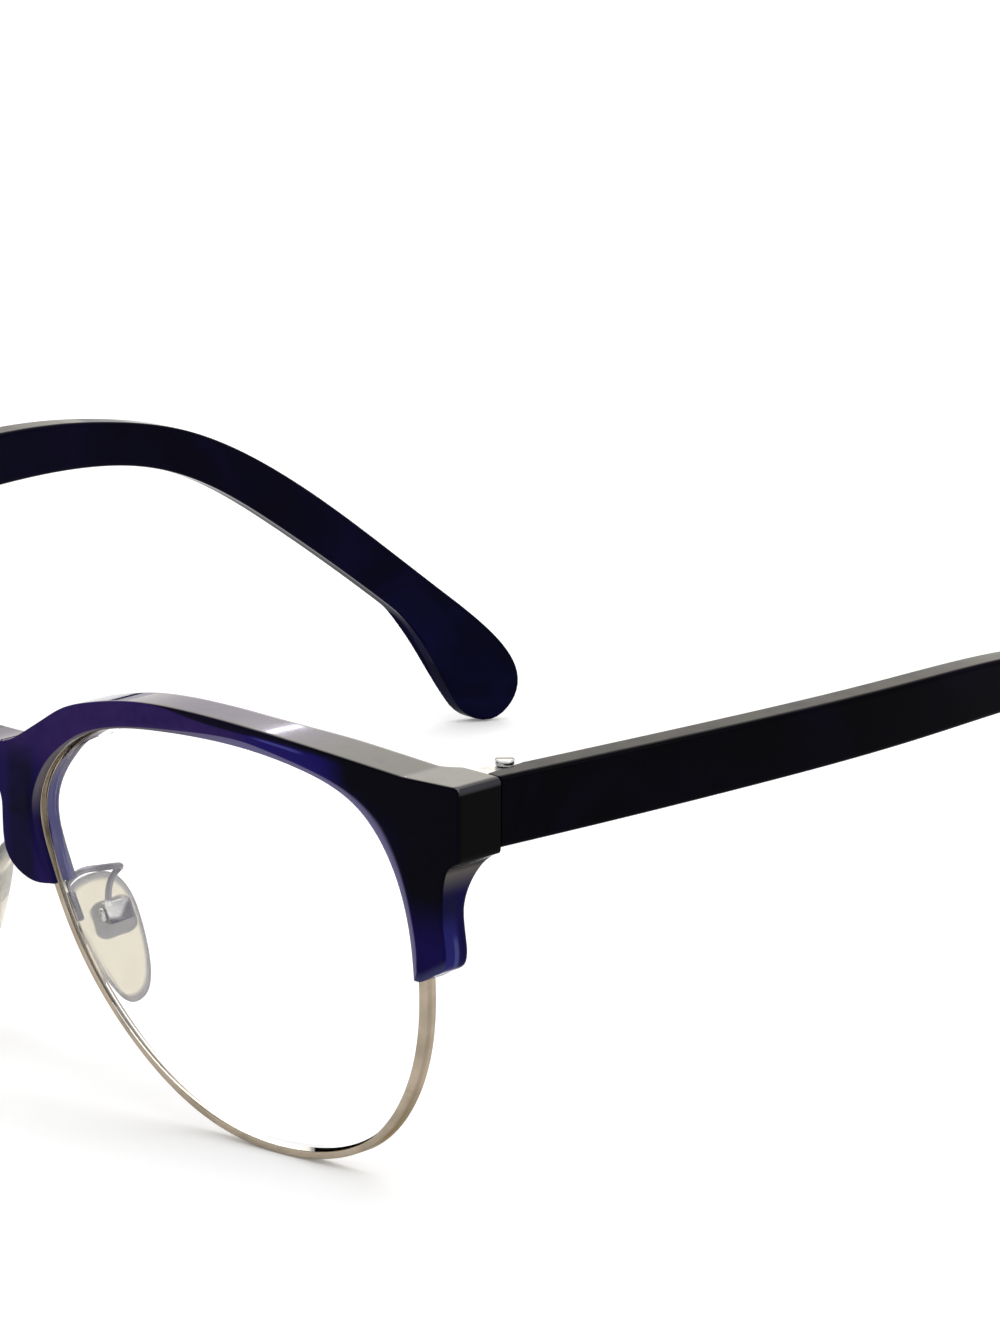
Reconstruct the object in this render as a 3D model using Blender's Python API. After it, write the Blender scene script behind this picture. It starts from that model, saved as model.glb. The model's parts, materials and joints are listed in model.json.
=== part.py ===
"""Combination spectacles: an acetate brow front that holds two full metal eyewires, and acetate temples.

The front is cut flat, grooved for the eyewires and then bent to its base curve, and each temple is cut flat
from its side profile and then bowed in plan, as such frames are made. X runs to the wearer's left, Y back
along the temples and Z up. The frame stands on its rims and temple tips at Z = 0, centred on X and Y.
"""

import math

import bmesh
import bpy
import numpy as np
from mathutils import Matrix, Vector

MM = 0.001
DEGREE = math.pi / 180

# The boxed sizes of the frame
LENS_WIDTH = 52.0 * MM
LENS_HEIGHT = 42.0 * MM
BRIDGE_WIDTH = 18.0 * MM
ENDPIECE_REACH = 5.5 * MM
TEMPLE_REACH = 126.6 * MM
BASE_CURVE_RADIUS = 490.0 * MM

# Eyewire and lens
RIM_DEPTH = 1.7 * MM
RIM_OUTSIDE_LENS = 0.4 * MM
RIM_INSIDE_LENS = 0.35 * MM
RIM_GROOVE_MOUTH = 1.2 * MM
RIM_GROOVE_FLOOR = 0.7 * MM
RIM_GROOVE_CLEARANCE = 0.1 * MM
LENS_THICKNESS = 1.4 * MM
LENS_CROWN = 1.5 * MM
LENS_BEVEL_ROOT = 0.9 * MM
LENS_BEVEL_EDGE = 0.4 * MM
LENS_BEVEL_SLOPE = 0.45 * MM
LENS_RING_SHARES = (0.7,)
RIM_STATIONS = 54

# Outline of lens and rim, clockwise from the temple side, in shares of half the boxed width and height
RIM_OUTLINE_SHARES = (
    (0.996, 0.052),
    (0.949, -0.484),
    (0.756, -0.837),
    (0.376, -0.995),
    (-0.081, -0.924),
    (-0.483, -0.631),
    (-0.787, -0.214),
    (-0.938, 0.142),
    (-1.000, 0.426),
    (-0.900, 0.701),
    (-0.668, 0.894),
    (-0.298, 0.982),
    (0.094, 0.999),
    (0.434, 0.956),
    (0.712, 0.834),
    (0.894, 0.565),
)

# Closing block and lock screw of the eyewire, in a pocket behind the temple-side leg
BLOCK_UP_SHARE = 0.28
BLOCK_REACH = 2.1 * MM
BLOCK_HALF_HEIGHT = 2.0 * MM
BLOCK_BACK = 0.4 * MM
BLOCK_ROOT = 0.2 * MM
BLOCK_SLIT = 0.3 * MM
BLOCK_CLEARANCE = 0.2 * MM
LOCK_SHANK_RADIUS = 0.4 * MM
LOCK_HEAD_RADIUS = 0.7 * MM
LOCK_HEAD_HEIGHT = 0.55 * MM
LOCK_SEAT = 0.05 * MM
LOCK_END_SHARE = 0.9

# Acetate front
FRONT_LIP = 1.0 * MM
BROW_BACK = 3.3 * MM
BROW_BACK_SIDE = 4.1 * MM
LEG_BACK = 1.6 * MM
FRONT_EDGE_ROUND = 0.5 * MM
GROOVE_CLEARANCE = 0.12 * MM
ROLL_WIDTH = 0.8 * MM
ROLL_DEPTH = 0.4 * MM
BACK_CHAMFER = 0.35 * MM
BRIDGE_THICKNESS = 3.5 * MM
LEG_INSET = 2.1 * MM
CORNER_ROUND = 0.8 * MM
OUTLINE_STEP = 2.5 * MM
BEND_STEP = 7.0 * MM
SADDLE_UP_SHARE = 0.692
ENDPIECE_TOP_UP_SHARE = 1.000
ENDPIECE_BOTTOM_UP_SHARE = 0.633
LEG_TAPER_UP_SHARES = (0.349, 0.651)
LEG_TAPER_CUT_SHARES = (0.0, 0.35, 0.7, 1.0)
SIDE_BACK_ACROSS_SHARES = (0.10, 0.60)
FACED_ACROSS_SHARES = (0.90, 1.05)

# Brow line from the bridge to the endpiece, and the nose-side leg, in shares of half the rim's box
BROW_SHARES = (
    (-1.200, 0.695),
    (-1.129, 0.711),
    (-1.038, 0.771),
    (-0.924, 0.862),
    (-0.811, 0.947),
    (-0.683, 1.002),
    (-0.485, 1.056),
    (-0.167, 1.083),
    (0.144, 1.074),
    (0.636, 1.032),
    (0.924, 1.000),
)
NOSE_LEG_SHARES = (
    (-0.803, 0.095),
    (-0.852, 0.065),
    (-0.909, 0.049),
    (-0.966, 0.042),
    (-1.023, 0.054),
    (-1.083, 0.089),
    (-1.129, 0.145),
    (-1.151, 0.239),
    (-1.155, 0.355),
    (-1.166, 0.442),
)
ARCH_SHOULDER_SHARES = (0.66, 0.16)

# Temple-side leg below the endpiece: shares of the leg's inset, and of half the rim's height
SIDE_LEG_SHARES = (
    (0.30, 0.628),
    (0.62, 0.605),
    (0.90, 0.540),
    (1.00, 0.435),
    (0.97, 0.315),
    (0.84, 0.220),
    (0.80, 0.165),
    (0.98, 0.105),
    (1.40, 0.080),
    (2.10, 0.040),
    (2.75, 0.024),
    (3.60, 0.022),
)

# Temples
JOINT_FACE = 8.6 * MM
JOINT_GAP = 0.15 * MM
TEMPLE_THICKNESS = 3.4 * MM
TIP_THICKNESS = 2.3 * MM
THINNING_SHARES = (0.42, 0.85)
TEMPLE_EDGE_ROUND = 0.5 * MM
TEMPLE_BOW = 8.5 * MM
TEMPLE_STEP = 4.0 * MM
BOW_STEP = 7.5 * MM

# Side profile in shares of the temple's reach and of the endpiece's top height
TEMPLE_TOP_SHARES = (
    (0.000, 1.001),
    (0.115, 1.012),
    (0.233, 1.022),
    (0.387, 1.029),
    (0.470, 1.029),
    (0.545, 1.017),
    (0.610, 0.990),
    (0.676, 0.941),
    (0.781, 0.777),
    (0.899, 0.492),
    (0.952, 0.343),
)
TEMPLE_TIP_SHARES = (
    (0.952, 0.343),
    (0.983, 0.240),
    (1.000, 0.128),
    (0.994, 0.046),
    (0.976, 0.003),
    (0.962, 0.014),
    (0.946, 0.074),
    (0.932, 0.176),
)
TEMPLE_BOTTOM_SHARES = (
    (0.932, 0.176),
    (0.911, 0.290),
    (0.882, 0.378),
    (0.780, 0.623),
    (0.694, 0.788),
    (0.640, 0.849),
    (0.570, 0.882),
    (0.470, 0.887),
    (0.387, 0.879),
    (0.233, 0.862),
    (0.115, 0.845),
    (0.000, 0.829),
)
# Plan of the outer side in shares of the reach and of the bow
TEMPLE_PLAN_SHARES = (
    (-0.02, -0.06),
    (0.100, 0.320),
    (0.250, 0.740),
    (0.447, 1.000),
    (0.620, 0.880),
    (0.800, 0.410),
    (0.900, -0.080),
    (1.010, -1.030),
)

# Core wire inside the temple
CORE_HEIGHT = 1.5 * MM
CORE_THICKNESS = 0.9 * MM
CORE_CLEARANCE = 0.15 * MM
CORE_IN_THICKNESS_SHARE = 0.42
CORE_STATIONS = 20
PEG_SET_BACK = 3.0 * MM
PEG_LENGTH = 2.4 * MM
CORE_SHARES = (
    (0.050, 0.928),
    (0.118, 0.938),
    (0.233, 0.953),
    (0.470, 0.974),
    (0.600, 0.944),
    (0.694, 0.866),
    (0.780, 0.705),
    (0.861, 0.512),
    (0.905, 0.398),
    (0.935, 0.270),
    (0.956, 0.150),
)

# Hinges: five knuckles on an upright screw, half sunk in the temple's inner side
HINGE_INSET = 3.2 * MM
HINGE_SET_BACK = 3.8 * MM
BARREL_RADIUS = 1.15 * MM
BARREL_BELOW_TOP = 0.15 * MM
LEAF_BELOW_TOP = 0.6 * MM
KNUCKLE_HEIGHT = 1.1 * MM
KNUCKLE_GAP = 0.05 * MM
KNUCKLES = 5
HINGE_BORE_RADIUS = 0.65 * MM
HINGE_SHANK_RADIUS = 0.58 * MM
HINGE_HEAD_RADIUS = 1.0 * MM
HINGE_HEAD_HEIGHT = 0.7 * MM
HINGE_HEAD_WALL_SHARE = 0.7
HINGE_HEAD_TOP_SHARE = 0.8
HINGE_SLOT_WIDTH = 0.35 * MM
HINGE_SLOT_DEPTH = 0.3 * MM
HINGE_SEAT = 0.05 * MM
LEAF_THICKNESS = 1.0 * MM
LEAF_SEAT = 0.12 * MM
FRONT_LEAF_WIDTH = 4.2 * MM
LEAF_MARGIN = 0.3 * MM
TANG_WIDTH = 2.6 * MM
TANG_HEIGHT = 3.0 * MM
TANG_DEPTH = 1.6 * MM
TEMPLE_LEAF_LENGTH = 9.5 * MM
TEMPLE_LEAF_HEIGHT = 3.6 * MM
REBATE_CLEARANCE = 0.2 * MM
BARREL_SIDES = 16

# Nose pads, pad arms, pad inserts and pad screws
PAD_BEYOND_LENS_EDGE = 0.5 * MM
PAD_BACK = 9.0 * MM
PAD_BELOW_LENS_CENTRE = 7.4 * MM
PAD_HALF_WIDTH = 3.75 * MM
PAD_HALF_HEIGHT = 7.1 * MM
PAD_CROWN = 1.45 * MM
PAD_REAR_CROWN = 0.45 * MM
PAD_SPLAY = 27.0 * DEGREE
PAD_FLARE = 17.0 * DEGREE
PAD_TILT = 13.5 * DEGREE
PAD_AXIS_UP = 2.8 * MM
PAD_AXIS_BACK = 1.2 * MM
INSERT_DROP = 0.8 * MM
PAD_AXIS_OUT = 2.3 * MM
PAD_OUTLINE_SHARES = (
    (0.05, 1.00),
    (0.62, 0.93),
    (0.98, 0.62),
    (1.06, 0.24),
    (1.00, -0.28),
    (0.83, -0.70),
    (0.48, -0.97),
    (0.10, -1.00),
    (-0.22, -0.80),
    (-0.50, -0.38),
    (-0.72, 0.12),
    (-0.84, 0.58),
    (-0.56, 0.92),
)
# Rings from the crown on the nose side to the rear: share of the outline, share of the crown there
PAD_CROWN_SHARES = (
    (0.30, 0.96),
    (0.62, 0.78),
    (0.88, 0.42),
    (1.00, 0.00),
)
PAD_REAR_SHARES = (
    (0.92, 0.70),
    (0.70, 1.00),
)
PAD_POINTS = 22
INSERT_HALF_WIDTH = 2.4 * MM
INSERT_HALF_HEIGHT = 2.1 * MM
INSERT_THICKNESS = 0.6 * MM
INSERT_LOBES = 4
INSERT_LOBE_SHARE = 0.10
INSERT_CLEARANCE = 0.12 * MM
INSERT_POINTS = 24
STUD_WIDTH = 1.3 * MM
STUD_RADIUS = 0.85 * MM
STUD_BORE_RADIUS = 0.5 * MM
BOX_CLEARANCE = 0.1 * MM
BOX_CHEEK = 0.6 * MM
BOX_WEB = 0.5 * MM
BOX_WEB_GAP = 0.2 * MM
BOX_NOSE_REACH = 0.8 * MM
BOX_HALF_HEIGHT = 1.15 * MM
PAD_SHANK_RADIUS = 0.44 * MM
PAD_HEAD_RADIUS = 0.75 * MM
PAD_HEAD_HEIGHT = 0.4 * MM
ARM_RADIUS = 0.45 * MM
ARM_RISE = 4.8 * MM
ARM_SWING = 1.5 * MM
ARM_STATIONS = 18
ARM_SIDES = 7
ARM_FOOT_UP_SHARE = -0.085
ARM_FOOT_LENGTH = 3.2 * MM
ARM_FOOT_WIDTH = 0.8 * MM
ARM_FOOT_THICKNESS = 0.8 * MM
ARM_SEAT = 0.08 * MM
ARM_SINK = 0.3 * MM
# Arm from its foot to the pad box: share of the way, share of the rise, share of the swing outwards
ARM_SHARES = (
    (0.00, 0.00, 0.00),
    (0.13, 0.41, -1.25),
    (0.43, 0.74, -0.87),
    (0.80, 0.84, 0.10),
    (1.11, 0.86, 1.00),
    (1.19, 0.74, 0.80),
    (1.07, 0.46, 0.30),
)

CUTTER_OVERRUN = 2.0 * MM
ROUND_SIDES = 16
SMOOTH_ANGLE = 32.0 * DEGREE
MERGE_DISTANCE = 0.0005 * MM

# Sizes and places worked out from the values above
RIM_HALF_WIDTH = LENS_WIDTH / 2 + RIM_OUTSIDE_LENS
RIM_HALF_HEIGHT = LENS_HEIGHT / 2 + RIM_OUTSIDE_LENS
LENS_X = (BRIDGE_WIDTH + LENS_WIDTH) / 2
LENS_Z = RIM_HALF_HEIGHT
FRONT_HALF_WIDTH = BRIDGE_WIDTH / 2 + LENS_WIDTH + ENDPIECE_REACH
FRONT_FACE = -(RIM_DEPTH / 2 + FRONT_LIP)
GROOVE_HALF_DEPTH = RIM_DEPTH / 2 + GROOVE_CLEARANCE
SADDLE_Z = LENS_Z + SADDLE_UP_SHARE * RIM_HALF_HEIGHT
ENDPIECE_TOP = LENS_Z + ENDPIECE_TOP_UP_SHARE * RIM_HALF_HEIGHT
ENDPIECE_BOTTOM = LENS_Z + ENDPIECE_BOTTOM_UP_SHARE * RIM_HALF_HEIGHT
TEMPLE_END = JOINT_FACE + JOINT_GAP
HINGE_X = FRONT_HALF_WIDTH - HINGE_INSET
HINGE_Y = JOINT_FACE + HINGE_SET_BACK
BARREL_TOP = ENDPIECE_TOP - BARREL_BELOW_TOP
BARREL_BOTTOM = BARREL_TOP - KNUCKLES * (KNUCKLE_HEIGHT + KNUCKLE_GAP) + KNUCKLE_GAP
REBATE_END = HINGE_Y + BARREL_RADIUS + REBATE_CLEARANCE
REBATE_SIDE = HINGE_X + BARREL_RADIUS + REBATE_CLEARANCE


def wrap(x):
    """How far the base curve sets the front back at a distance x from the middle."""
    return x * x / (2 * BASE_CURVE_RADIUS)


def in_rim(across, up):
    """A point of the front view from its shares of half the rim's box."""
    return (LENS_X + across * RIM_HALF_WIDTH, LENS_Z + up * RIM_HALF_HEIGHT)


def curve_through(points, closed=False):
    """A cubic spline through the points, as a function of a share of its length from 0 to 1."""
    knots = np.array(points, dtype=float)
    if closed:
        knots = np.vstack([knots, knots[:1]])
    steps = np.linalg.norm(np.diff(knots, axis=0), axis=1)
    at = np.concatenate([[0.0], np.cumsum(steps)]) / steps.sum()
    gaps = np.diff(at)
    slopes = np.diff(knots, axis=0) / gaps[:, None]
    count = len(knots)
    matrix = np.eye(count)
    right = np.zeros_like(knots)
    for i in range(1, count - 1):
        matrix[i, i - 1 : i + 2] = gaps[i - 1], 2 * (gaps[i - 1] + gaps[i]), gaps[i]
        right[i] = 6 * (slopes[i] - slopes[i - 1])
    if closed:
        matrix[0, :2] = 2 * (gaps[-1] + gaps[0]), gaps[0]
        matrix[0, -2] = gaps[-1]
        right[0] = 6 * (slopes[0] - slopes[-1])
        matrix[-1, 0] = -1.0
    bends = np.linalg.solve(matrix, right)

    def place(share):
        share = np.asarray(share, dtype=float)
        i = np.clip(np.searchsorted(at, share, side="right") - 1, 0, count - 2)
        before = (share - at[i])[..., None]
        after = (at[i + 1] - share)[..., None]
        gap = gaps[i][..., None]
        cubic = (bends[i] * after**3 + bends[i + 1] * before**3) / (6 * gap)
        straight = (knots[i] / gap - bends[i] * gap / 6) * after
        return cubic + straight + (knots[i + 1] / gap - bends[i + 1] * gap / 6) * before

    return place


def spread(points, count, closed=False):
    """Points at even distances along the spline, with both ends of an open one."""
    place = curve_through(points, closed)
    fine = place(np.linspace(0, 1, 40 * count + 1))
    way = np.concatenate([[0.0], np.cumsum(np.linalg.norm(np.diff(fine, axis=0), axis=1))])
    wanted = np.linspace(0, way[-1], count + 1 if closed else count)
    if closed:
        wanted = wanted[:-1]
    return np.stack([np.interp(wanted, way, fine[:, k]) for k in range(fine.shape[1])], axis=1)


def run_of(points, step):
    """An open spline with about one point for each step of its length."""
    length = np.linalg.norm(np.diff(np.array(points), axis=0), axis=1).sum()
    return spread(points, max(2, round(length / step) + 1))


def corner(at, before, after, radius, count=4):
    """A rounded corner: an arc of the radius between the directions to the points before and after."""
    at, before, after = (np.array(p, dtype=float) for p in (at, before, after))
    towards = [(p - at) / np.linalg.norm(p - at) for p in (before, after)]
    half = math.acos(np.clip(np.dot(towards[0], towards[1]), -1, 1)) / 2
    middle = towards[0] + towards[1]
    centre = at + middle / np.linalg.norm(middle) * radius / math.sin(half)
    ends = [at + t * radius / math.tan(half) - centre for t in towards]
    shares = np.linspace(0, 1, count)
    arc = [ends[0] * (1 - s) + ends[1] * s for s in shares]
    return np.array([centre + a / np.linalg.norm(a) * radius for a in arc])


def outward(outline):
    """Unit normals of a closed outline, pointing out of it."""
    outline = np.asarray(outline)
    after = np.roll(outline, -1, axis=0) - outline
    before = outline - np.roll(outline, 1, axis=0)
    after = after / np.linalg.norm(after, axis=1)[:, None]
    before = before / np.linalg.norm(before, axis=1)[:, None]
    along = after + before
    along = along / np.linalg.norm(along, axis=1)[:, None]
    area = np.sum(outline[:, 0] * np.roll(outline[:, 1], -1) - outline[:, 1] * np.roll(outline[:, 0], -1))
    turn = 1.0 if area > 0 else -1.0
    return np.stack([along[:, 1], -along[:, 0]], axis=1) * turn


def grown(outline, distance):
    """The outline moved outwards by the distance."""
    return np.asarray(outline) + outward(outline) * distance


def smooth_step(value, start, end):
    """From 0 at the start to 1 at the end, level at both."""
    share = min(max((value - start) / (end - start), 0.0), 1.0)
    return share * share * (3 - 2 * share)


def clear_scene():
    for item in list(bpy.data.objects):
        bpy.data.objects.remove(item, do_unlink=True)


def finish(name, colour, roughness, metallic=0.0, alpha=1.0):
    """A Principled material with the piece's own colour."""
    material = bpy.data.materials.new(name)
    material.use_nodes = True
    shader = material.node_tree.nodes["Principled BSDF"]
    shader.inputs["Base Color"].default_value = (*colour, 1.0)
    shader.inputs["Roughness"].default_value = roughness
    shader.inputs["Metallic"].default_value = metallic
    shader.inputs["Alpha"].default_value = alpha
    return material


def solid(name, bm):
    """A new object from a closed bmesh, its faces turned outwards."""
    bmesh.ops.recalc_face_normals(bm, faces=bm.faces)
    mesh = bpy.data.meshes.new(name)
    bm.to_mesh(mesh)
    bm.free()
    item = bpy.data.objects.new(name, mesh)
    bpy.context.scene.collection.objects.link(item)
    return item


def skinned(name, rings, loop=False, poke=False):
    """A solid through rings of like count: closed by its two ends, or joined into a loop."""
    bm = bmesh.new()
    loops = [[bm.verts.new(Vector(p)) for p in ring] for ring in rings]
    pairs = list(zip(loops, loops[1:]))
    if loop:
        pairs.append((loops[-1], loops[0]))
    for one, other in pairs:
        for i in range(len(one)):
            j = (i + 1) % len(one)
            bm.faces.new((one[i], one[j], other[j], other[i]))
    if not loop:
        caps = [bm.faces.new(loops[0]), bm.faces.new(loops[-1])]
        if poke:
            bmesh.ops.poke(bm, faces=caps)
    return solid(name, bm)


def upright(name, outline, low, high):
    """A solid with a plan outline, from one height to another."""
    return skinned(name, [[(x, y, z) for x, y in outline] for z in (low, high)])


def block(name, low, high):
    """A rectangular solid between two corners."""
    (x0, y0, z0), (x1, y1, z1) = low, high
    return upright(name, [(x0, y0), (x1, y0), (x1, y1), (x0, y1)], z0, z1)


def circle(x, y, radius, count=ROUND_SIDES):
    turns = [2 * math.pi * (i + 0.5) / count for i in range(count)]
    return [(x + radius * math.cos(t), y + radius * math.sin(t)) for t in turns]


def settle(item):
    """Replaces the object's mesh with what its modifiers make of it."""
    depsgraph = bpy.context.evaluated_depsgraph_get()
    mesh = bpy.data.meshes.new_from_object(item.evaluated_get(depsgraph))
    item.modifiers.clear()
    item.data = mesh


def combine(item, tool, operation):
    """One exact Boolean with a tool that is used up."""
    modifier = item.modifiers.new(operation.lower(), "BOOLEAN")
    modifier.operation = operation
    modifier.solver = "EXACT"
    modifier.object = tool
    settle(item)
    bpy.data.objects.remove(tool, do_unlink=True)


def cut(item, tool):
    combine(item, tool, "DIFFERENCE")


def join(item, tool):
    combine(item, tool, "UNION")


def reshape(item, move):
    """Moves each vertex of the object to where the function sends it, with all faces split to triangles."""
    bm = bmesh.new()
    bm.from_mesh(item.data)
    bmesh.ops.triangulate(bm, faces=bm.faces)
    for vertex in bm.verts:
        vertex.co = move(vertex.co)
    bm.to_mesh(item.data)
    bm.free()


def sliced(item, normal, places, keep_below=None):
    """Cuts edges into the faces along planes, and takes off what lies past one more plane."""
    bm = bmesh.new()
    bm.from_mesh(item.data)
    for place in places:
        everything = bm.verts[:] + bm.edges[:] + bm.faces[:]
        bmesh.ops.bisect_plane(
            bm, geom=everything, dist=MERGE_DISTANCE, plane_co=normal * place, plane_no=normal
        )
    if keep_below is not None:
        everything = bm.verts[:] + bm.edges[:] + bm.faces[:]
        cut_geometry = bmesh.ops.bisect_plane(
            bm,
            geom=everything,
            dist=MERGE_DISTANCE,
            plane_co=normal * keep_below,
            plane_no=normal,
            clear_outer=True,
        )
        rim = [e for e in cut_geometry["geom_cut"] if isinstance(e, bmesh.types.BMEdge) and e.is_boundary]
        bmesh.ops.contextual_create(bm, geom=rim)
    bm.to_mesh(item.data)
    bm.free()


def dressed(item, material):
    """Triangles, smooth round faces, sharp corners and the piece's own material."""
    bm = bmesh.new()
    bm.from_mesh(item.data)
    bmesh.ops.remove_doubles(bm, verts=bm.verts, dist=MERGE_DISTANCE)
    bmesh.ops.dissolve_degenerate(bm, dist=MERGE_DISTANCE, edges=bm.edges)
    bmesh.ops.triangulate(bm, faces=bm.faces)
    bm.to_mesh(item.data)
    bm.free()
    item.data.shade_smooth()
    item.data.set_sharp_from_angle(angle=SMOOTH_ANGLE)
    item.data.materials.clear()
    item.data.materials.append(material)
    return item


def mirrored(item, name, material):
    """The same piece for the other side, with its faces turned back outwards."""
    bm = bmesh.new()
    bm.from_mesh(item.data)
    for vertex in bm.verts:
        vertex.co.x = -vertex.co.x
    bmesh.ops.reverse_faces(bm, faces=bm.faces)
    return dressed(solid(name, bm), material)


def rim_outline(beyond_lens):
    """The rim's outline at a distance outside the lens edge."""
    half_width = LENS_WIDTH / 2
    half_height = LENS_HEIGHT / 2
    edge = [(LENS_X + a * half_width, LENS_Z + u * half_height) for a, u in RIM_OUTLINE_SHARES]
    return grown(spread(edge, RIM_STATIONS, closed=True), beyond_lens)


def rim_point(up_share, nose_side):
    """The lens edge's point and outward normal at a height, on the nose or the temple side."""
    outline = rim_outline(0)
    normals = outward(outline)
    height = LENS_Z + up_share * RIM_HALF_HEIGHT
    on_side = [i for i, p in enumerate(outline) if (p[0] < LENS_X) == nose_side]
    nearest = min(on_side, key=lambda i: abs(outline[i][1] - height))
    return outline[nearest], normals[nearest]


def front_outline():
    """The acetate front seen from the front, over both eyes, without its lens openings."""
    brow = [in_rim(a, u) for a, u in BROW_SHARES]
    top = [(-x, z) for x, z in reversed(brow)] + [(0.0, SADDLE_Z)] + brow
    top_corner = (FRONT_HALF_WIDTH, ENDPIECE_TOP)
    low_corner = (FRONT_HALF_WIDTH, ENDPIECE_BOTTOM)
    half_height = RIM_HALF_HEIGHT
    side_leg = [(FRONT_HALF_WIDTH - s * LEG_INSET, LENS_Z + u * half_height) for s, u in SIDE_LEG_SHARES]
    nose_leg = [in_rim(a, u) for a, u in NOSE_LEG_SHARES]
    arch_x, arch_z = nose_leg[-1]
    crown = SADDLE_Z - BRIDGE_THICKNESS
    shoulder_x, shoulder_z = ARCH_SHOULDER_SHARES
    shoulder = (arch_x * shoulder_x, crown - (crown - arch_z) * shoulder_z)
    under = nose_leg + [shoulder, (0.0, crown), (-shoulder[0], shoulder[1])]
    under += [(-x, z) for x, z in reversed(nose_leg)]
    runs = [
        run_of(top, OUTLINE_STEP),
        corner(top_corner, brow[-1], low_corner, CORNER_ROUND),
        corner(low_corner, top_corner, side_leg[0], CORNER_ROUND),
        run_of(side_leg, OUTLINE_STEP),
        run_of(under, OUTLINE_STEP),
    ]
    right_leg = [(-x, z) for x, z in reversed(runs[3])]
    right_corners = [(-x, z) for x, z in reversed(list(runs[1]) + list(runs[2]))]
    return np.array(sum([list(r) for r in runs], []) + right_leg + right_corners)


def quarter_round(radius):
    """Insets and depths along an edge's rounding, from the face to the side."""
    turns = (0.0, math.pi / 4, math.pi / 2)
    return [(radius * (1 - math.sin(t)), radius * (1 - math.cos(t))) for t in turns]


def rounded_slab(name, outline, front, back, radius):
    """A slab in the XZ plane whose front and back edges are rounded."""
    quarter = quarter_round(radius)
    rings = [(front + depth, inset) for inset, depth in quarter]
    rings += [(back - depth, inset) for inset, depth in reversed(quarter)]
    return skinned(name, [[(x, y, z) for x, z in grown(outline, -inset)] for y, inset in rings])


def front_depth(x, z):
    """Where the back of the flat front lies at a place of the front view."""
    across = (abs(x) - LENS_X) / RIM_HALF_WIDTH
    up = (z - LENS_Z) / RIM_HALF_HEIGHT
    brow = BROW_BACK + (BROW_BACK_SIDE - BROW_BACK) * smooth_step(across, *SIDE_BACK_ACROSS_SHARES)
    faced = JOINT_FACE + FRONT_EDGE_ROUND * 2 - wrap(x)
    brow += (faced - brow) * smooth_step(across, *FACED_ACROSS_SHARES)
    low, high = LEG_TAPER_UP_SHARES
    rise = min(max((up - low) / (high - low), 0.0), 1.0) ** 2
    return LEG_BACK + (brow - LEG_BACK) * rise


def make_brow_front():
    """One acetate sheet: brow, bridge, nose legs, side legs and endpieces."""
    rough_back = BROW_BACK
    item = rounded_slab("brow_front", front_outline(), FRONT_FACE, rough_back, FRONT_EDGE_ROUND)
    inner = rim_outline(-RIM_INSIDE_LENS)
    seat = rim_outline(RIM_OUTSIDE_LENS + GROOVE_CLEARANCE)
    stations = [
        (FRONT_FACE - ROLL_DEPTH, 2 * ROLL_WIDTH),
        (FRONT_FACE + ROLL_DEPTH, 0.0),
        (rough_back - BACK_CHAMFER, 0.0),
        (rough_back + BACK_CHAMFER, 2 * BACK_CHAMFER),
    ]
    for side in (1, -1):
        rings = [[(side * x, y, z) for x, z in grown(inner, out)] for y, out in stations]
        cut(item, skinned("opening", rings))
        rings = [[(side * x, y, z) for x, z in seat] for y in (-GROOVE_HALF_DEPTH, GROOVE_HALF_DEPTH)]
        cut(item, skinned("groove", rings))
    reach = int(FRONT_HALF_WIDTH / BEND_STEP)
    across = Vector((1, 0, 0))
    sliced(item, across, [BEND_STEP * i for i in range(-reach, reach + 1)])
    low, high = (LENS_Z + share * RIM_HALF_HEIGHT for share in LEG_TAPER_UP_SHARES)
    sliced(item, Vector((0, 0, 1)), [low + (high - low) * share for share in LEG_TAPER_CUT_SHARES])
    rear = rough_back - GROOVE_HALF_DEPTH

    def bend(at):
        depth = at.y
        if depth > GROOVE_HALF_DEPTH + MERGE_DISTANCE:
            share = (depth - GROOVE_HALF_DEPTH) / rear
            depth = GROOVE_HALF_DEPTH + share * (front_depth(at.x, at.z) - GROOVE_HALF_DEPTH)
        return Vector((at.x, depth + wrap(at.x), at.z))

    reshape(item, bend)
    sliced(item, Vector((0, 1, 0)), [], keep_below=JOINT_FACE)
    for side in (1, -1):
        cut(item, block_pocket(side))
        leaf_low, leaf_high = leaf_heights()
        x0 = HINGE_X - FRONT_LEAF_WIDTH + BARREL_RADIUS - LEAF_SEAT
        x1 = HINGE_X + BARREL_RADIUS + LEAF_SEAT
        y0 = JOINT_FACE - LEAF_THICKNESS - LEAF_SEAT
        low = (x0, y0, leaf_low - LEAF_SEAT)
        high = (x1, JOINT_FACE + CUTTER_OVERRUN, leaf_high + LEAF_SEAT)
        cut(item, sided_block("leaf_pocket", low, high, side))
        low, high = tang_corners(LEAF_SEAT)
        cut(item, sided_block("tang_pocket", low, high, side))
    return item


def sided_block(name, low, high, side):
    """A block for the wearer's left, or its mirror image for the right."""
    if side < 0:
        low, high = (-high[0], low[1], low[2]), (-low[0], high[1], high[2])
    return block(name, low, high)


def leaf_heights():
    """Bottom and top of the front leaf's plate, kept inside the endpiece."""
    return max(BARREL_BOTTOM, ENDPIECE_BOTTOM + LEAF_BELOW_TOP), ENDPIECE_TOP - LEAF_BELOW_TOP


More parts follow.
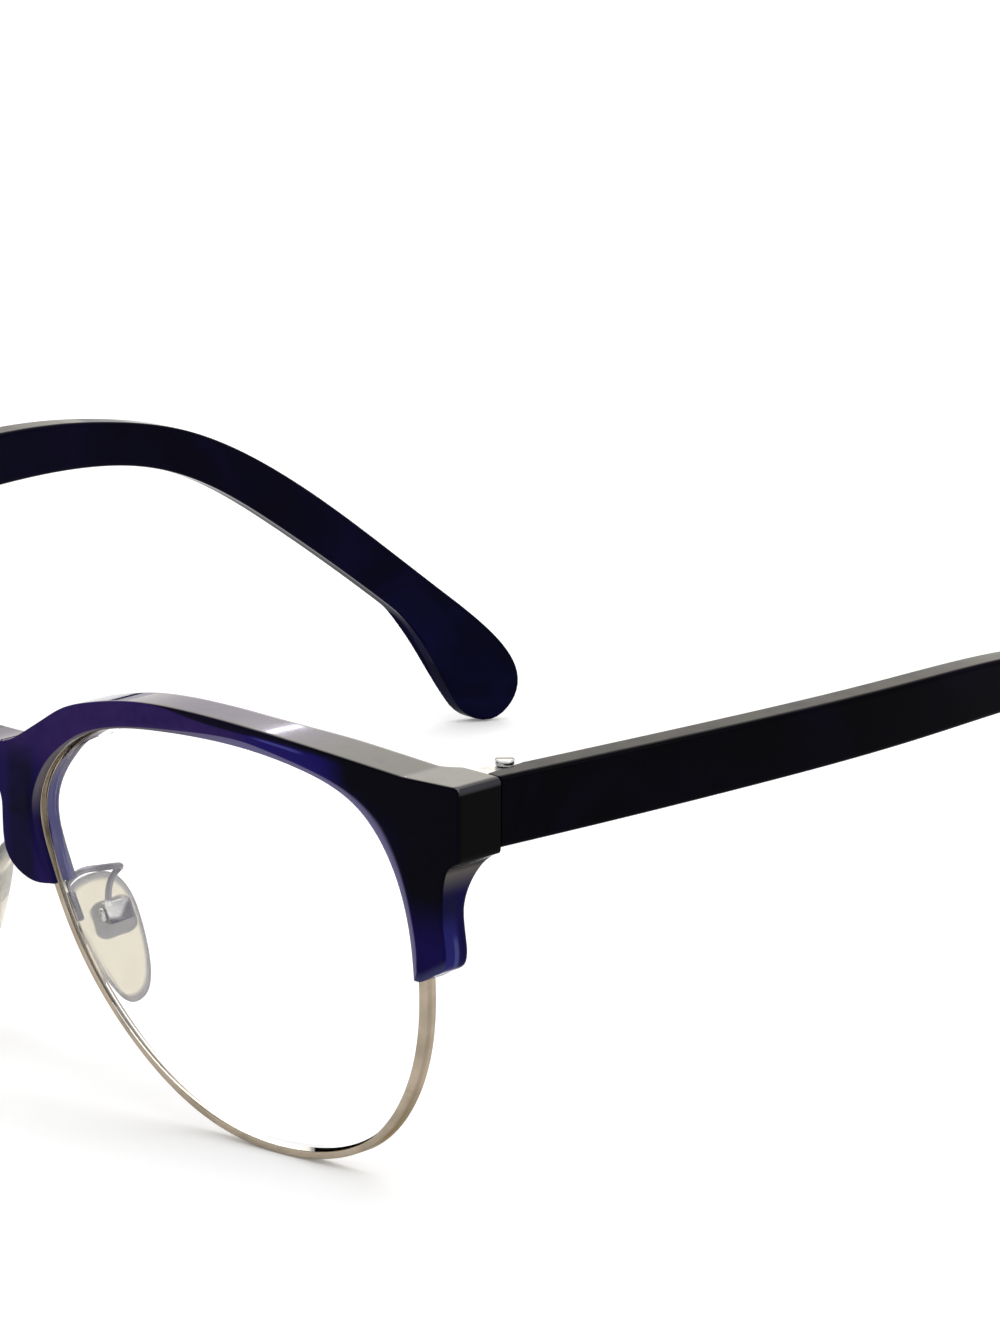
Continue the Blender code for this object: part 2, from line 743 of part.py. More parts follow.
def tang_corners(grow):
    """The front leaf's anchor in the endpiece, or its pocket when grown by the clearance."""
    low, high = leaf_heights()
    middle_x = HINGE_X - FRONT_LEAF_WIDTH / 2 + BARREL_RADIUS
    middle_z = (low + high) / 2
    back = JOINT_FACE - LEAF_THICKNESS
    start = (middle_x - TANG_WIDTH / 2 - grow, back - TANG_DEPTH - grow, middle_z - TANG_HEIGHT / 2 - grow)
    end = (middle_x + TANG_WIDTH / 2 + grow, back + LEAF_THICKNESS / 2, middle_z + TANG_HEIGHT / 2 + grow)
    return start, end


def rim_side(height):
    """How far out the rim's temple side stands at a height."""
    side = sorted((z, x) for x, z in rim_outline(RIM_OUTSIDE_LENS) if x > LENS_X + RIM_HALF_WIDTH / 2)
    return float(np.interp(height, [p[0] for p in side], [p[1] for p in side]))


def block_frame():
    """The closing block's root on the rim, its set-back and its middle height."""
    z = LENS_Z + BLOCK_UP_SHARE * RIM_HALF_HEIGHT
    x = rim_side(z)
    return x, wrap(x), z


def block_pocket(side):
    """Pocket in the side leg, open to the back, for the closing block and its screw."""
    x, y, z = block_frame()
    clearance = BLOCK_CLEARANCE
    low = (
        x - BLOCK_ROOT - RIM_INSIDE_LENS - RIM_OUTSIDE_LENS,
        y - GROOVE_HALF_DEPTH,
        z - BLOCK_HALF_HEIGHT - LOCK_HEAD_HEIGHT - LOCK_SEAT - clearance,
    )
    high = (
        x + BLOCK_REACH + clearance,
        y + LEG_BACK + CUTTER_OVERRUN,
        z + BLOCK_HALF_HEIGHT + clearance,
    )
    return sided_block("block_pocket", low, high, side)


def make_eyewire():
    """The metal rim: a grooved strip bent round the lens, with its split closing block."""
    half = RIM_DEPTH / 2
    out = RIM_OUTSIDE_LENS
    inside = -RIM_INSIDE_LENS
    floor = RIM_GROOVE_CLEARANCE
    section = [
        (out, -half),
        (out, half),
        (inside, half),
        (inside, RIM_GROOVE_MOUTH / 2),
        (floor, RIM_GROOVE_FLOOR / 2),
        (floor, -RIM_GROOVE_FLOOR / 2),
        (inside, -RIM_GROOVE_MOUTH / 2),
        (inside, -half),
    ]
    outline = rim_outline(0)
    normals = outward(outline)
    rings = []
    for (x, z), (nx, nz) in zip(outline, normals):
        rings.append([(x + nx * r, y + wrap(x + nx * r), z + nz * r) for r, y in section])
    item = skinned("eyewire_left", rings, loop=True)
    x, y, z = block_frame()
    heights = np.linspace(z - BLOCK_HALF_HEIGHT, z + BLOCK_HALF_HEIGHT, 7)
    root = [(rim_side(height) - BLOCK_ROOT, height) for height in heights]
    side_view = root + [(x + BLOCK_REACH, heights[-1]), (x + BLOCK_REACH, heights[0])]
    ends = (y - half, y + half + BLOCK_BACK)
    join(item, skinned("closing_block", [[(px, py, pz) for px, pz in side_view] for py in ends]))
    slit_low = (x - out - RIM_INSIDE_LENS - CUTTER_OVERRUN, y - half - CUTTER_OVERRUN, z - BLOCK_SLIT / 2)
    slit_high = (x + BLOCK_REACH + CUTTER_OVERRUN, y + half + CUTTER_OVERRUN, z + BLOCK_SLIT / 2)
    cut(item, block("slit", slit_low, slit_high))
    bore_x, bore_y = lock_axis()
    radius = LOCK_SHANK_RADIUS + LOCK_SEAT
    bore = circle(bore_x, bore_y, radius)
    cut(item, upright("bore", bore, z - BLOCK_HALF_HEIGHT - CUTTER_OVERRUN, z + BLOCK_HALF_HEIGHT + CUTTER_OVERRUN))
    return item


def lock_axis():
    """Plan place of the closing block's screw."""
    x, y, _ = block_frame()
    return x + BLOCK_REACH - LOCK_HEAD_RADIUS, y + BLOCK_BACK / 2


def make_lock_screw():
    """Small screw that draws the eyewire's two ends together, its head below the block."""
    x, y = lock_axis()
    _, _, z = block_frame()
    under = z - BLOCK_HALF_HEIGHT - LOCK_SEAT
    rings = [
        (under - LOCK_HEAD_HEIGHT, LOCK_HEAD_RADIUS),
        (under, LOCK_HEAD_RADIUS),
        (under, LOCK_SHANK_RADIUS),
        (z + BLOCK_HALF_HEIGHT * LOCK_END_SHARE, LOCK_SHANK_RADIUS),
    ]
    return turned("rim_lock_screw_left", x, y, rings)


def turned(name, x, y, rings):
    """A round upright solid from heights and radii."""
    return skinned(name, [[(px, py, z) for px, py in circle(x, y, radius)] for z, radius in rings])


def make_lens():
    """A crowned lens whose bevelled edge stands in the eyewire's groove."""
    edge = rim_outline(0)
    inner = grown(edge, -LENS_BEVEL_SLOPE)
    face = grown(edge, -2 * LENS_BEVEL_SLOPE)
    centre = np.array([LENS_X, LENS_Z])

    def ring(outline, offset, share=1.0):
        points = centre + (np.asarray(outline) - centre) * share
        crown = LENS_CROWN * (1 - share * share)
        return [(x, offset - crown + wrap(x), z) for x, z in points]

    half = LENS_THICKNESS / 2
    front = [ring(face, -half, share) for share in reversed(LENS_RING_SHARES)]
    back = [ring(face, half, share) for share in LENS_RING_SHARES]
    rings = front + [
        ring(face, -half),
        ring(inner, -LENS_BEVEL_ROOT / 2),
        ring(edge, -LENS_BEVEL_EDGE / 2),
        ring(edge, LENS_BEVEL_EDGE / 2),
        ring(inner, LENS_BEVEL_ROOT / 2),
        ring(face, half),
    ]
    return skinned("lens_left", rings + back, poke=True)


def temple_place(shares):
    """Side profile points in Y and Z from their shares."""
    return [(JOINT_FACE + a * TEMPLE_REACH, u * ENDPIECE_TOP) for a, u in shares]


def plan_curve():
    """How far the temple's outer side stands from its place at the joint, at a distance back."""
    knots = [(JOINT_FACE + a * TEMPLE_REACH, b * TEMPLE_BOW) for a, b in TEMPLE_PLAN_SHARES]
    place = curve_through(knots)
    fine = place(np.linspace(0, 1, 400))

    def bow(y):
        return float(np.interp(y, fine[:, 0], fine[:, 1]))

    start = bow(JOINT_FACE)
    return lambda y: FRONT_HALF_WIDTH + bow(y) - start


def bowed(plan):
    """The move that bends a flat temple piece to its plan and thins it towards the tip."""
    start, end = (JOINT_FACE + share * TEMPLE_REACH for share in THINNING_SHARES)
    thinning = 1 - TIP_THICKNESS / TEMPLE_THICKNESS
    return lambda at: Vector(
        (plan(at.y) + at.x - (TEMPLE_THICKNESS + at.x) * thinning * smooth_step(at.y, start, end), at.y, at.z)
    )


def temple_outline():
    """The temple seen from its side, running past the joint so that it can be cut off square."""
    top = temple_place(TEMPLE_TOP_SHARES)
    bottom = temple_place(TEMPLE_BOTTOM_SHARES)
    extra = 2 * TEMPLE_EDGE_ROUND
    tip = run_of(temple_place(TEMPLE_TIP_SHARES), TEMPLE_STEP / 2)
    points = [(JOINT_FACE - extra, top[0][1])]
    points += list(run_of(top, TEMPLE_STEP))
    points += list(tip[1:-1])
    points += list(run_of(bottom, TEMPLE_STEP))
    points.append((JOINT_FACE - extra, bottom[-1][1]))
    return np.array(points)


def make_temple(plan):
    """One acetate temple: cut flat, its core channel opened, bowed in plan and rebated for the hinge."""
    outline = temple_outline()
    quarter = quarter_round(TEMPLE_EDGE_ROUND)
    stations = [(-depth, inset) for inset, depth in quarter]
    stations += [(-TEMPLE_THICKNESS + depth, inset) for inset, depth in reversed(quarter)]
    rings = [[(x, y, z) for y, z in grown(outline, -inset)] for x, inset in stations]
    item = skinned("temple_left", rings)
    cut(item, core_bar("core_channel", CORE_CLEARANCE))
    count = int((JOINT_FACE + TEMPLE_REACH) / BOW_STEP)
    sliced(item, Vector((0, 1, 0)), [BOW_STEP * i for i in range(1, count + 1)])
    reshape(item, bowed(plan))
    sliced(item, Vector((0, -1, 0)), [], keep_below=-TEMPLE_END)
    inner = plan(TEMPLE_END) - TEMPLE_THICKNESS
    low = (inner - CUTTER_OVERRUN, JOINT_FACE - CUTTER_OVERRUN, 0.0)
    high = (REBATE_SIDE, REBATE_END, ENDPIECE_TOP + CUTTER_OVERRUN)
    cut(item, block("rebate", low, high))
    cut(item, temple_leaf_plate("leaf_seat", plan, LEAF_SEAT))
    cut(item, core_peg("port", plan, LEAF_SEAT))
    return item


def core_bar(name, grow):
    """The core wire's flat bar in the plane of the side profile, or its channel when grown."""
    path = spread(temple_place(CORE_SHARES), CORE_STATIONS)
    along = np.gradient(path, axis=0)
    along = along / np.linalg.norm(along, axis=1)[:, None]
    path[0] = path[0] - along[0] * grow
    path[-1] = path[-1] + along[-1] * grow
    half_height = CORE_HEIGHT / 2 + grow
    half_thick = CORE_THICKNESS / 2 + grow
    middle = -TEMPLE_THICKNESS * CORE_IN_THICKNESS_SHARE
    rings = []
    for (y, z), (ay, az) in zip(path, along):
        corners = ((-1, -1), (1, -1), (1, 1), (-1, 1))
        rings.append(
            [
                (middle + s * half_thick, y - az * t * half_height, z + ay * t * half_height)
                for s, t in corners
            ]
        )
    return skinned(name, rings)


def core_peg(name, plan, grow):
    """Peg of the hinge leaf that reaches the core wire, or its port into the channel when grown."""
    start_y, middle_z = temple_place(CORE_SHARES)[0]
    start_y += PEG_SET_BACK
    core = TEMPLE_THICKNESS * CORE_IN_THICKNESS_SHARE
    reach = core if grow else core + CORE_THICKNESS / 2 + CORE_CLEARANCE
    leaf = TEMPLE_THICKNESS - LEAF_THICKNESS / 2
    half = CORE_HEIGHT / 2
    low = (plan(start_y) - leaf, start_y - grow, middle_z - half)
    high = (plan(start_y) - reach, start_y + PEG_LENGTH + grow, middle_z + half)
    return block(name, low, high)


def make_core_wire(plan):
    """The stiffening wire shot into the temple from its hinge end."""
    item = core_bar("core_wire_left", 0.0)
    reshape(item, bowed(plan))
    return item


def temple_leaf_height():
    """Middle height of the temple's hinge leaf."""
    return (BARREL_TOP + BARREL_BOTTOM) / 2


def temple_leaf_plate(name, plan, grow):
    """The temple leaf's plate let into the inner side, or its seat when grown by the clearance."""
    middle = temple_leaf_height()
    start = REBATE_END - REBATE_CLEARANCE
    ends = (start - grow - (CUTTER_OVERRUN if grow else 0.0), start + TEMPLE_LEAF_LENGTH + grow)
    places = np.linspace(ends[0], ends[1], 5)
    outer = [(plan(y) - TEMPLE_THICKNESS + LEAF_THICKNESS + grow, y) for y in places]
    shift = CUTTER_OVERRUN if grow else 0.0
    inner = [(plan(y) - TEMPLE_THICKNESS - shift, y) for y in places]
    outline = outer + inner[::-1]
    low = middle - TEMPLE_LEAF_HEIGHT / 2 - grow
    high = middle + TEMPLE_LEAF_HEIGHT / 2 + grow
    return upright(name, outline, low, high)


def knuckle(number, towards):
    """One barrel with its arm, seen in plan as a keyhole, reaching to a set-back in Y."""
    x0 = HINGE_X - BARREL_RADIUS
    x1 = HINGE_X + BARREL_RADIUS
    low = BARREL_BOTTOM + number * (KNUCKLE_HEIGHT + KNUCKLE_GAP)
    sign = 1.0 if towards < HINGE_Y else -1.0
    turns = [math.pi * i / (BARREL_SIDES // 2) for i in range(BARREL_SIDES // 2 + 1)]
    arc = [(HINGE_X + BARREL_RADIUS * math.cos(t), HINGE_Y + sign * BARREL_RADIUS * math.sin(t)) for t in turns]
    outline = [(x1, towards)] + arc + [(x0, towards)]
    return upright("knuckle", outline, low, low + KNUCKLE_HEIGHT)


def drill_hinge(item):
    bore = circle(HINGE_X, HINGE_Y, HINGE_BORE_RADIUS)
    cut(item, upright("bore", bore, BARREL_BOTTOM - CUTTER_OVERRUN, BARREL_TOP + CUTTER_OVERRUN))


def make_front_hinge():
    """Front leaf: plate and anchor let into the endpiece's back, with three knuckles."""
    low_z, high_z = leaf_heights()
    x0 = HINGE_X - FRONT_LEAF_WIDTH + BARREL_RADIUS
    x1 = HINGE_X + BARREL_RADIUS
    back = JOINT_FACE - LEAF_THICKNESS
    item = block("front_hinge_left", (x0, back, low_z), (x1, JOINT_FACE, high_z))
    low, high = tang_corners(0.0)
    join(item, block("tang", low, high))
    for number in range(0, KNUCKLES, 2):
        join(item, knuckle(number, JOINT_FACE - LEAF_MARGIN))
    above_plate = block(
        "above_plate",
        (x0, JOINT_FACE - LEAF_THICKNESS - CUTTER_OVERRUN, high_z),
        (x1 + CUTTER_OVERRUN, JOINT_FACE + LEAF_SEAT, BARREL_TOP + CUTTER_OVERRUN),
    )
    cut(item, above_plate)
    drill_hinge(item)
    return item


def make_temple_hinge(plan):
    """Temple leaf: plate let into the temple's inner side, with two knuckles."""
    item = temple_leaf_plate("temple_hinge_left", plan, 0.0)
    join(item, core_peg("peg", plan, 0.0))
    for number in range(1, KNUCKLES, 2):
        join(item, knuckle(number, REBATE_END + LEAF_THICKNESS))
    drill_hinge(item)
    return item


def make_hinge_screw():
    """Hinge screw from above, its slotted head standing on the top knuckle."""
    seat = BARREL_TOP + HINGE_SEAT
    rings = [
        (BARREL_BOTTOM + KNUCKLE_GAP, HINGE_SHANK_RADIUS),
        (seat, HINGE_SHANK_RADIUS),
        (seat, HINGE_HEAD_RADIUS),
        (seat + HINGE_HEAD_HEIGHT * HINGE_HEAD_WALL_SHARE, HINGE_HEAD_RADIUS),
        (seat + HINGE_HEAD_HEIGHT, HINGE_HEAD_RADIUS * HINGE_HEAD_TOP_SHARE),
    ]
    item = turned("hinge_screw_left", HINGE_X, HINGE_Y, rings)
    half = HINGE_SLOT_WIDTH / 2
    top = seat + HINGE_HEAD_HEIGHT
    low = (HINGE_X - HINGE_HEAD_RADIUS - CUTTER_OVERRUN, HINGE_Y - half, top - HINGE_SLOT_DEPTH)
    high = (HINGE_X + HINGE_HEAD_RADIUS + CUTTER_OVERRUN, HINGE_Y + half, top + CUTTER_OVERRUN)
    cut(item, block("slot", low, high))
    return item


def pad_matrix():
    """Pad frame: X back along the pad, Y up it, Z away from the nose; its origin in the pad's middle."""
    back = Vector((math.sin(PAD_SPLAY), math.cos(PAD_SPLAY), 0.0))
    up = Vector((-math.sin(PAD_FLARE), 0.0, math.cos(PAD_FLARE)))
    up = (up - back * up.dot(back)).normalized()
    away = back.cross(up)
    rotation = Matrix((back, up, away)).transposed().to_4x4() @ Matrix.Rotation(PAD_TILT, 4, "Z")
    place = Vector(
        (BRIDGE_WIDTH / 2 + PAD_BEYOND_LENS_EDGE, PAD_BACK, LENS_Z - PAD_BELOW_LENS_CENTRE)
    )
    return Matrix.Translation(place) @ rotation


def in_pad_frame(item):
    item.data.transform(pad_matrix())
    return item


def pad_outline():
    points = [(a * PAD_HALF_WIDTH, u * PAD_HALF_HEIGHT) for a, u in PAD_OUTLINE_SHARES]
    return spread(points, PAD_POINTS, closed=True)


def make_nose_pad():
    """Soft pad, crowned towards the nose, with the seat of its insert open behind."""
    outline = pad_outline()
    rings = [[(x * s, y * s, -PAD_CROWN * c) for x, y in outline] for s, c in PAD_CROWN_SHARES]
    rings += [[(x * s, y * s, PAD_REAR_CROWN * c) for x, y in outline] for s, c in PAD_REAR_SHARES]
    item = skinned("nose_pad_left", rings, poke=True)
    floor = PAD_REAR_CROWN - INSERT_THICKNESS - INSERT_CLEARANCE
    seat = insert_outline(INSERT_CLEARANCE)
    cut(item, skinned("seat", [[(x, y, z) for x, y in seat] for z in (floor, PAD_REAR_CROWN + CUTTER_OVERRUN)]))
    return in_pad_frame(item)


def insert_outline(grow):
    """Lobed plate of the insert round the pad's axis height."""
    points = []
    for i in range(INSERT_POINTS):
        turn = 2 * math.pi * i / INSERT_POINTS
        lobe = 1 + INSERT_LOBE_SHARE * math.cos(INSERT_LOBES * turn + math.pi)
        x = (INSERT_HALF_WIDTH * lobe + grow) * math.cos(turn)
        y = (INSERT_HALF_HEIGHT * lobe + grow) * math.sin(turn)
        points.append((PAD_AXIS_BACK + x, PAD_AXIS_UP - INSERT_DROP + y))
    return points


def along_pad(name, outline, low, high):
    """A solid with an outline across the pad screw, between two places along it."""
    return skinned(name, [[(PAD_AXIS_BACK + x, y, z) for y, z in outline] for x in (low, high)])


def round_tongue(reach, radius):
    """Outline of a tongue that comes from the pad and ends round the screw's axis."""
    turns = [math.pi * (i / 10) for i in range(11)]
    arc = [(PAD_AXIS_UP + radius * math.cos(t), PAD_AXIS_OUT + radius * math.sin(t)) for t in turns]
    return [(PAD_AXIS_UP + radius, reach)] + arc + [(PAD_AXIS_UP - radius, reach)]


def screw_hole(radius, low, high):
    """A round cutter or shank along the pad screw's axis."""
    return along_pad("hole", circle(PAD_AXIS_UP, PAD_AXIS_OUT, radius), low, high)


def make_pad_insert():
    """Hard core of the pad: a lobed plate with the tongue that the pad screw holds."""
    top = PAD_REAR_CROWN
    plate = insert_outline(0.0)
    rings = [[(x, y, z) for x, y in plate] for z in (top - INSERT_THICKNESS, top)]
    item = skinned("pad_insert_left", rings)
    half = STUD_WIDTH / 2
    join(item, along_pad("tongue", round_tongue(top - INSERT_THICKNESS / 2, STUD_RADIUS), -half, half))
    cut(item, screw_hole(STUD_BORE_RADIUS, -CUTTER_OVERRUN, CUTTER_OVERRUN))
    return in_pad_frame(item)


def box_walls():
    """Inner and outer half width of the pad box, and where its web starts and ends."""
    inner = STUD_WIDTH / 2 + BOX_CLEARANCE
    web = PAD_AXIS_OUT + STUD_RADIUS + BOX_WEB_GAP
    return inner, inner + BOX_CHEEK, web, web + BOX_WEB


def make_pad_arm():
    """Pad arm: a foot on the eyewire, a bent wire and the box that takes the pad's tongue."""
    inner, outer, web, back = box_walls()
    low_y = PAD_AXIS_UP - BOX_HALF_HEIGHT
    high_y = PAD_AXIS_UP + BOX_HALF_HEIGHT
    front = PAD_AXIS_OUT - BOX_NOSE_REACH
    walls = [(-outer, front), (-inner, front), (-inner, web), (inner, web)]
    walls += [(inner, front), (outer, front), (outer, back), (-outer, back)]
    middle = PAD_AXIS_BACK
    item = skinned("pad_arm_left", [[(middle + x, y, z) for x, z in walls] for y in (low_y, high_y)])
    cut(item, screw_hole(PAD_SHANK_RADIUS + LOCK_SEAT, -CUTTER_OVERRUN, CUTTER_OVERRUN))
    in_pad_frame(item)
    landing = middle - (inner + outer) / 2
    box_top = pad_matrix() @ Vector((landing, high_y, (web + back) / 2))
    box_in = pad_matrix() @ Vector((landing, high_y - ARM_SINK, (web + back) / 2))
    (rim_x, rim_z), (nx, nz) = rim_point(ARM_FOOT_UP_SHARE, nose_side=True)
    foot_y = wrap(rim_x) + RIM_DEPTH / 2 + ARM_SEAT
    foot = Vector((rim_x, foot_y + ARM_FOOT_THICKNESS / 2, rim_z))
    knots = []
    for way, rise, swing in ARM_SHARES:
        knots.append(foot.lerp(box_top, way) + Vector((swing * ARM_SWING, 0.0, rise * ARM_RISE)))
    knots.append(box_in)
    join(item, tube("wire", knots, ARM_RADIUS, ARM_STATIONS, ARM_SIDES))
    along = Vector((-nz, 0.0, nx)) * ARM_FOOT_LENGTH / 2
    out = Vector((nx, 0.0, nz)) * ARM_FOOT_WIDTH / 2
    ring = [foot + s * along + t * out for s, t in ((-1, -1), (1, -1), (1, 1), (-1, 1))]
    deep = Vector((0.0, ARM_FOOT_THICKNESS / 2, 0.0))
    join(item, skinned("foot", [[p - deep for p in ring], [p + deep for p in ring]]))
    return item


def tube(name, knots, radius, stations, sides):
    """A round wire along a smooth path."""
    path = [Vector(p) for p in spread([tuple(k) for k in knots], stations)]
    rings = []
    normal = None
    for i, at in enumerate(path):
        ahead = path[min(i + 1, len(path) - 1)]
        behind = path[max(i - 1, 0)]
        along = (ahead - behind).normalized()
        if normal is None:
            normal = along.orthogonal().normalized()
        normal = (normal - along * normal.dot(along)).normalized()
        other = along.cross(normal)
        turns = [2 * math.pi * k / sides for k in range(sides)]
        rings.append([at + radius * (math.cos(t) * normal + math.sin(t) * other) for t in turns])
    return skinned(name, rings)


def make_pad_screw():
    """Screw through the pad box and the pad's tongue, its head on the front cheek."""
    _, outer, _, _ = box_walls()
    item = screw_hole(PAD_SHANK_RADIUS, -outer - LOCK_SEAT - PAD_HEAD_HEIGHT / 2, outer)
    item.name = "pad_screw_left"
    start = -outer - LOCK_SEAT - PAD_HEAD_HEIGHT
    head = along_pad("head", circle(PAD_AXIS_UP, PAD_AXIS_OUT, PAD_HEAD_RADIUS), start, -outer - LOCK_SEAT)
    join(item, head)
    return in_pad_frame(item)


def axis_empty(name, place, parent):
    """An empty on a joint's axis, which carries what turns about it."""
    empty = bpy.data.objects.new(name, None)
    empty.location = place
    empty.parent = parent
    bpy.context.scene.collection.objects.link(empty)
    return empty


def hang(item, parent, place=(0.0, 0.0, 0.0)):
    """Parents a piece and sets its own origin at its parent's."""
    item.data.transform(Matrix.Translation(-Vector(place)))
    item.parent = parent


def build():
    clear_scene()
    plan = plan_curve()
    navy = (0.010, 0.008, 0.045)
    night = (0.006, 0.005, 0.022)
    champagne = (0.42, 0.36, 0.27)
    steel = (0.55, 0.55, 0.54)
    makers = {
        "eyewire": (make_eyewire, champagne, 0.28, 1.0, 1.0),
        "lens": (make_lens, (0.93, 0.95, 0.96), 0.02, 0.0, 0.15),
        "rim_lock_screw": (make_lock_screw, steel, 0.3, 1.0, 1.0),
        "pad_arm": (make_pad_arm, champagne, 0.3, 1.0, 1.0),
        "pad_screw": (make_pad_screw, steel, 0.3, 1.0, 1.0),
        "nose_pad": (make_nose_pad, (0.80, 0.72, 0.60), 0.15, 0.0, 0.55),
        "pad_insert": (make_pad_insert, (0.70, 0.70, 0.68), 0.12, 0.0, 0.6),
        "front_hinge": (make_front_hinge, steel, 0.3, 1.0, 1.0),
        "hinge_screw": (make_hinge_screw, steel, 0.25, 1.0, 1.0),
        "temple": (lambda: make_temple(plan), night, 0.12, 0.0, 1.0),
        "temple_hinge": (lambda: make_temple_hinge(plan), steel, 0.3, 1.0, 1.0),
        "core_wire": (lambda: make_core_wire(plan), steel, 0.4, 1.0, 1.0),
    }
    front = dressed(make_brow_front(), finish("brow_front", navy, 0.1))
    pieces = {"brow_front": front}
    for kind, (make, colour, roughness, metallic, alpha) in makers.items():
        left = make()
        name = kind + "_left"
        pieces[name] = dressed(left, finish(name, colour, roughness, metallic, alpha))
        name = kind + "_right"
        pieces[name] = mirrored(left, name, finish(name, colour, roughness, metallic, alpha))
    corners = [v.co for item in pieces.values() for v in item.data.vertices]
    middle = (min(c.y for c in corners) + max(c.y for c in corners)) / 2
    lowest = min(c.z for c in corners)
    root = axis_empty("spectacles", (0.0, -middle, -lowest), None)
    pad_axis = pad_matrix() @ Vector((PAD_AXIS_BACK, PAD_AXIS_UP, PAD_AXIS_OUT))
    for side, end in ((1, "_left"), (-1, "_right")):
        hinge = (side * HINGE_X, HINGE_Y, temple_leaf_height())
        pad = (side * pad_axis.x, pad_axis.y, pad_axis.z)
        turning = {
            "temple": (axis_empty("temple_axis" + end, hinge, root), hinge),
            "pad": (axis_empty("pad_axis" + end, pad, root), pad),
        }
        carried_by = {
            "temple": "temple",
            "temple_hinge": "temple",
            "core_wire": "temple",
            "nose_pad": "pad",
            "pad_insert": "pad",
        }
        for kind in makers:
            if kind in carried_by:
                hang(pieces[kind + end], *turning[carried_by[kind]])
            else:
                hang(pieces[kind + end], root)
    hang(front, root)


build()
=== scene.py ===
import json
import math

import bmesh
import bpy
import numpy as np
from mathutils import Matrix, Vector

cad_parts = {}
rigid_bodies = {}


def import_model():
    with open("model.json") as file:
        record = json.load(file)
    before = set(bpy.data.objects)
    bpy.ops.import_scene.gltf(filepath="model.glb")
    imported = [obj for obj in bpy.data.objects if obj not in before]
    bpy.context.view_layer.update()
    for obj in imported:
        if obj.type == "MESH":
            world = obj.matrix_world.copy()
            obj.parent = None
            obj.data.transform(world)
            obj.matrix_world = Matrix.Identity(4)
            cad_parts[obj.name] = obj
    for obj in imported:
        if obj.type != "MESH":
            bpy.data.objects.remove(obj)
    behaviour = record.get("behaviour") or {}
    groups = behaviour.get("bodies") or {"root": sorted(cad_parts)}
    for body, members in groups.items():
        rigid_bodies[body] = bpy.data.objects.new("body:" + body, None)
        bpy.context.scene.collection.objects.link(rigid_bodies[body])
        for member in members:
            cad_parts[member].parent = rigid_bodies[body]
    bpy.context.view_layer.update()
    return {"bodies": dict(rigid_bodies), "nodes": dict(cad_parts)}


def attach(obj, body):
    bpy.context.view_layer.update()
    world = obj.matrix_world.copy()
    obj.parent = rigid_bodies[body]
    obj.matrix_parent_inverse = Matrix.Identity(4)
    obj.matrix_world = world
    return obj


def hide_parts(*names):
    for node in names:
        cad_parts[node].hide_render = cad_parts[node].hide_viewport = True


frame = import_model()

MM = 0.001

# The table the glasses stand on for their picture: a pale sweep in even light, two broad soft lamps, a
# warm one low behind and a small one for a glint, and the camera, which looks at the wearer's-left
# lens from its temple side and a little from above.
TABLE_SIZE = 14.0
TABLE_DROP = 0.05 * MM
TABLE_GLOW = 0.12
ROOM_LIGHT = 0.7
EXTRA_LIGHT_SEEN = 0.3
CAMERA_PLACE = (0.633144, -0.633218, 0.272993)
CAMERA_ELEVATION = 15.17
CAMERA_AZIMUTH = 44.58
FOCAL_PIXELS = 8516.63
PICTURE_PIXELS = 1334.0
SENSOR_SIZE = 36.0

# Each lamp's place, the point it faces, its width and height, its power and its colour
LAMPS = {
    "over": ((-0.3, 0.3, 1.6), (0.0, 0.0, 0.0), (1.8, 1.8), 14.0, (1.0, 1.0, 1.0)),
    "side": ((1.5, 0.4, 1.1), (0.0, 0.0, 0.0), (0.9, 0.9), 5.0, (1.0, 1.0, 1.0)),
    "behind": ((-1.5, 1.5, 0.7), (0.0, 0.0, 0.05), (2.6, 1.1), 6.5, (1.0, 0.90, 0.68)),
    "glint": ((-1.276, 1.27, 0.7444), (0.04, -0.06, 0.04), (0.048, 0.005), 0.014, (0.86, 0.84, 1.0)),
}

loaded = set(frame["nodes"].values()) | set(frame["bodies"].values())
for item in list(bpy.data.objects):
    if item not in loaded:
        bpy.data.objects.remove(item, do_unlink=True)


